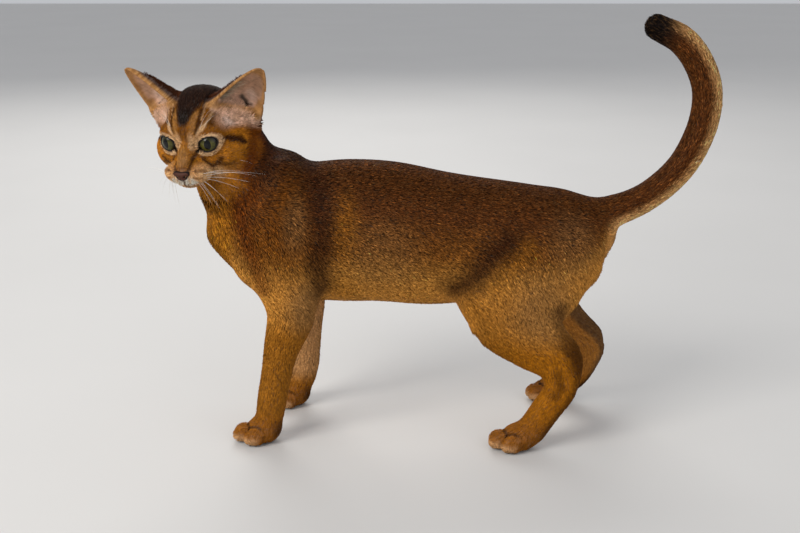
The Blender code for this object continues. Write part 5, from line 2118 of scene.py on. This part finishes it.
@dataclass(frozen=True)
class Whiskers:
    """Bristles on the lips, over the eyes and on the cheeks, in the head's axes: root, way, length."""

    bristles: tuple[tuple[Triple, Triple, float], ...] = (
        ((9.8, 14.1, -20.4), (-0.62, 0.76, 0.02), 40),
        ((8.6, 14.6, -21.6), (-0.66, 0.72, -0.16), 38),
        ((8, 14.4, -22.8), (-0.62, 0.66, -0.34), 30),
        ((10.6, 13.2, -18.4), (-0.5, 0.85, 0.1), 34),
        ((8.4, 15, -18.6), (-0.7, 0.7, 0.08), 26),
        ((8.2, 12.8, -24.4), (-0.5, 0.42, -0.7), 21),
        ((7, 12.8, -24.8), (-0.58, 0.38, -0.7), 19),
        ((8.8, 11.6, -25.2), (-0.36, 0.34, -0.85), 22),
        ((8.2, 10.2, -26), (-0.4, 0.2, -0.88), 20),
        ((9.6, 9.4, -25.6), (-0.25, 0.3, -0.9), 17),
        ((-0.5, 11, 9.5), (-0.2, 0.42, 0.88), 20),
        ((-2, 13, 10.5), (-0.35, 0.55, 0.76), 16),
        ((-14, 26, -14), (-0.6, 0.75, -0.25), 12),
    )
    steps: int = 16
    radius: float = 0.13
    sag: float = 0.22

    def surface(self, pelt: Pelt) -> Surface:
        """Tapered tubes that leave their roots straight and bend back and down along their length.

        Args:
            pelt: The skin that they stand in.

        Returns:
            Every bristle of both sides.
        """
        rng = np.random.default_rng(3)
        roots, ways, long = (np.array(column) for column in zip(*self.bristles))
        ways = unit(ways)
        lines = []
        t = np.linspace(0, 1, self.steps)
        for side in SIDES.values():
            start = pelt.field.settle(HEAD.place(roots * (1, side, 1)), -0.4, 4, 2)
            way = unit(ways * (1, side, 1) + rng.normal(0, 0.05, ways.shape)) @ HEAD.rows
            droop = np.array([0.25, 0, -1]) * self.sag
            reach = (long * rng.uniform(0.9, 1.1, len(long)))[:, None, None]
            lines.append(start[:, None] + reach * (way[:, None] * t[:, None] + droop * (t**2)[:, None]))
        path = np.concatenate(lines)
        radii = np.tile(self.radius * (1 - 0.88 * t), (len(path), 1))
        radii[:, -1] = 0.01
        return tubes(path, radii, 5)


@dataclass(frozen=True)
class EarHair:
    """Long pale hairs that spring from the front edge of each ear's cup and cross its opening."""

    count: int = 170
    long: tuple[float, float] = (6, 13)
    steps: int = 6
    seed: int = 11

    def surface(self) -> Surface:
        """Fine curved tubes, from the front wall of the cup back and upwards.

        Returns:
            The hairs of both ears, coloured cream to grey.
        """
        rng = np.random.default_rng(self.seed)
        t = np.linspace(0, 1, self.steps)
        lines = []
        for ear in EARS.values():
            middle, matrix = ear.frame()
            axes = np.linalg.inv(matrix)
            rise = rng.beta(1.3, 1.8, self.count) * 0.62 + 0.02
            left = (1 - rise) ** ear.taper
            edge = rng.uniform(0.8, 0.95, self.count)
            a = -ear.half_width() * left * edge
            b = -ear.cup * left * np.sqrt(1 - edge**2)
            start = middle + np.stack([a, b, rise], axis=1) @ axes.T
            aside = rng.uniform(0.5, 1, self.count)[:, None]
            out = rng.uniform(0, 0.3, self.count)[:, None]
            long = rng.uniform(*self.long, self.count) * (0.5 + 0.5 * left)
            across, facing, up = unit(axes.T)
            line = start[:, None] + long[:, None, None] * (
                across * (aside * t)[:, :, None]
                + facing * (out * np.sin(t * 2.2) - 0.08 * t)[:, :, None]
                + up * (0.45 * t**1.4)[None, :, None]
            )
            lines.append(HEAD.place(line.reshape(-1, 3)).reshape(line.shape))
        path = np.concatenate(lines)
        radii = np.tile(0.17 * (1 - 0.8 * t), (len(path), 1))
        made = tubes(path, radii, 3)
        pale = np.array([0.52, 0.4, 0.28]) * rng.uniform(0.6, 1.2, (len(path), 1, 1))
        made.colours = np.broadcast_to(pale, (len(path), self.steps * 3, 3)).reshape(-1, 3)
        return made


# ------------------------------ The studio


@dataclass(frozen=True)
class Lamp:
    """A soft square light: where it stands, what it faces, its size and power."""

    name: str
    place: Triple
    aim: Triple
    size: float
    power: float
    colour: Triple = (1, 1, 1)

    def build(self) -> None:
        """Adds the light, turned to face its aim."""
        lamp = bpy.data.lights.new(self.name, "AREA")
        lamp.size = self.size
        lamp.energy = self.power
        lamp.color = self.colour
        made = placed(self.name, lamp)
        away = unit(np.array(self.place) - np.array(self.aim))
        made.location = self.place
        made.rotation_euler = (math.acos(away[2]), 0, math.atan2(away[1], away[0]) + math.pi / 2)


@dataclass(frozen=True)
class Studio:
    """A pale floor, soft light from above and both sides, and the camera."""

    floor_half: float = 6
    floor_height: float = -0.0004
    lens: float = 50
    tilt: float = 73.65
    eye: Triple = (-0.0172, -0.798, 0.36)
    sky: float = 0.55
    lamps: tuple[Lamp, ...] = (
        Lamp("key", (-1.3, -1.15, 1.25), (-0.02, 0, 0.15), 1, 27, (1, 0.97, 0.93)),
        Lamp("fill", (1.3, -1.4, 0.9), (0, 0, 0.14), 1.6, 7, (0.95, 0.97, 1)),
        Lamp("back", (-0.3, 1.5, 1.3), (0, 0, 0.18), 1.3, 14, (1, 0.98, 0.95)),
    )

    def build(self) -> None:
        """Adds the floor, the lights, the sky and the camera."""
        self._floor()
        for lamp in self.lamps:
            lamp.build()
        scene = bpy.context.scene
        scene.world = bpy.data.worlds.new("sky")
        scene.world.use_nodes = True
        sky = scene.world.node_tree.nodes["Background"]
        sky.inputs["Color"].default_value = (0.93, 0.95, 1, 1)
        sky.inputs["Strength"].default_value = self.sky
        scene.view_settings.view_transform = "Standard"
        camera = bpy.data.cameras.new("camera")
        camera.lens = self.lens
        scene.camera = placed("camera", camera)
        scene.camera.location = self.eye
        scene.camera.rotation_euler = (math.radians(self.tilt), 0, 0)

    def _floor(self) -> None:
        """A flat sheet with a faint cloudy tone."""
        half = self.floor_half
        corners = [(-half, -half), (half, -half), (half, half), (-half, half)]
        mesh = bpy.data.meshes.new("floor")
        mesh.from_pydata([(x, y, self.floor_height) for x, y in corners], [], [(0, 1, 2, 3)])
        tree = Tree("floor")
        cloud = tree.noise(tree.place(), 3)
        tree.set(
            Base_Color=tree.mix(np.array([0.6, 0.59, 0.57]), np.array([0.66, 0.65, 0.63]), cloud),
            Roughness=cloud * 0.1 + 0.55,
        )
        mesh.materials.append(tree.material)
        floor = placed("floor", mesh)


class Cat:
    """The whole cat, piece by piece."""

    apart = ("eye_left", "eye_right", "nose")

    def build(self) -> None:
        """Builds the skin, eyes, lids, nose, whiskers and coat."""
        pelt = Pelt()
        flesh = [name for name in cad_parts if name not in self.apart]
        pelt.surface().piece("skin", PeltFinish().material(), "flank", flesh)
        glass = EyeFinish().material()
        for hand, eye in EYES.items():
            Eyeball(eye).surface().piece(f"eyeball_{hand}", glass, "eye", [f"eye_{hand}"])
        ink = Shade.INK.value
        lid = LeatherFinish("lid", (0.03, 0.015, 0.01), ink, rough=0.3).material()
        joined([LidRim(eye).surface() for eye in EYES.values()]).piece("lid_rims", lid, "leather")
        leather = LeatherFinish("nose_leather", (0.06, 0.018, 0.009), ink).material()
        NoseLeather().surface().piece("nose_leather", leather, "leather", ["nose"])
        Whiskers().surface(pelt).piece("whiskers", WhiskerFinish().material(), "ear")
        hair = HairFinish().material()
        EarHair().surface().piece("ear_hair", hair, "ear")
        for region, surface in Fur().pieces(pelt).items():
            name, slot = region.value
            surface.piece(name, hair, slot)


def main() -> None:
    """Builds the cat and the studio."""
    logging.basicConfig(level=logging.INFO, format="%(name)s: %(message)s")
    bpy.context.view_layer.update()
    Cat().build()
    Studio().build()


if __name__ == "__main__":
    main()
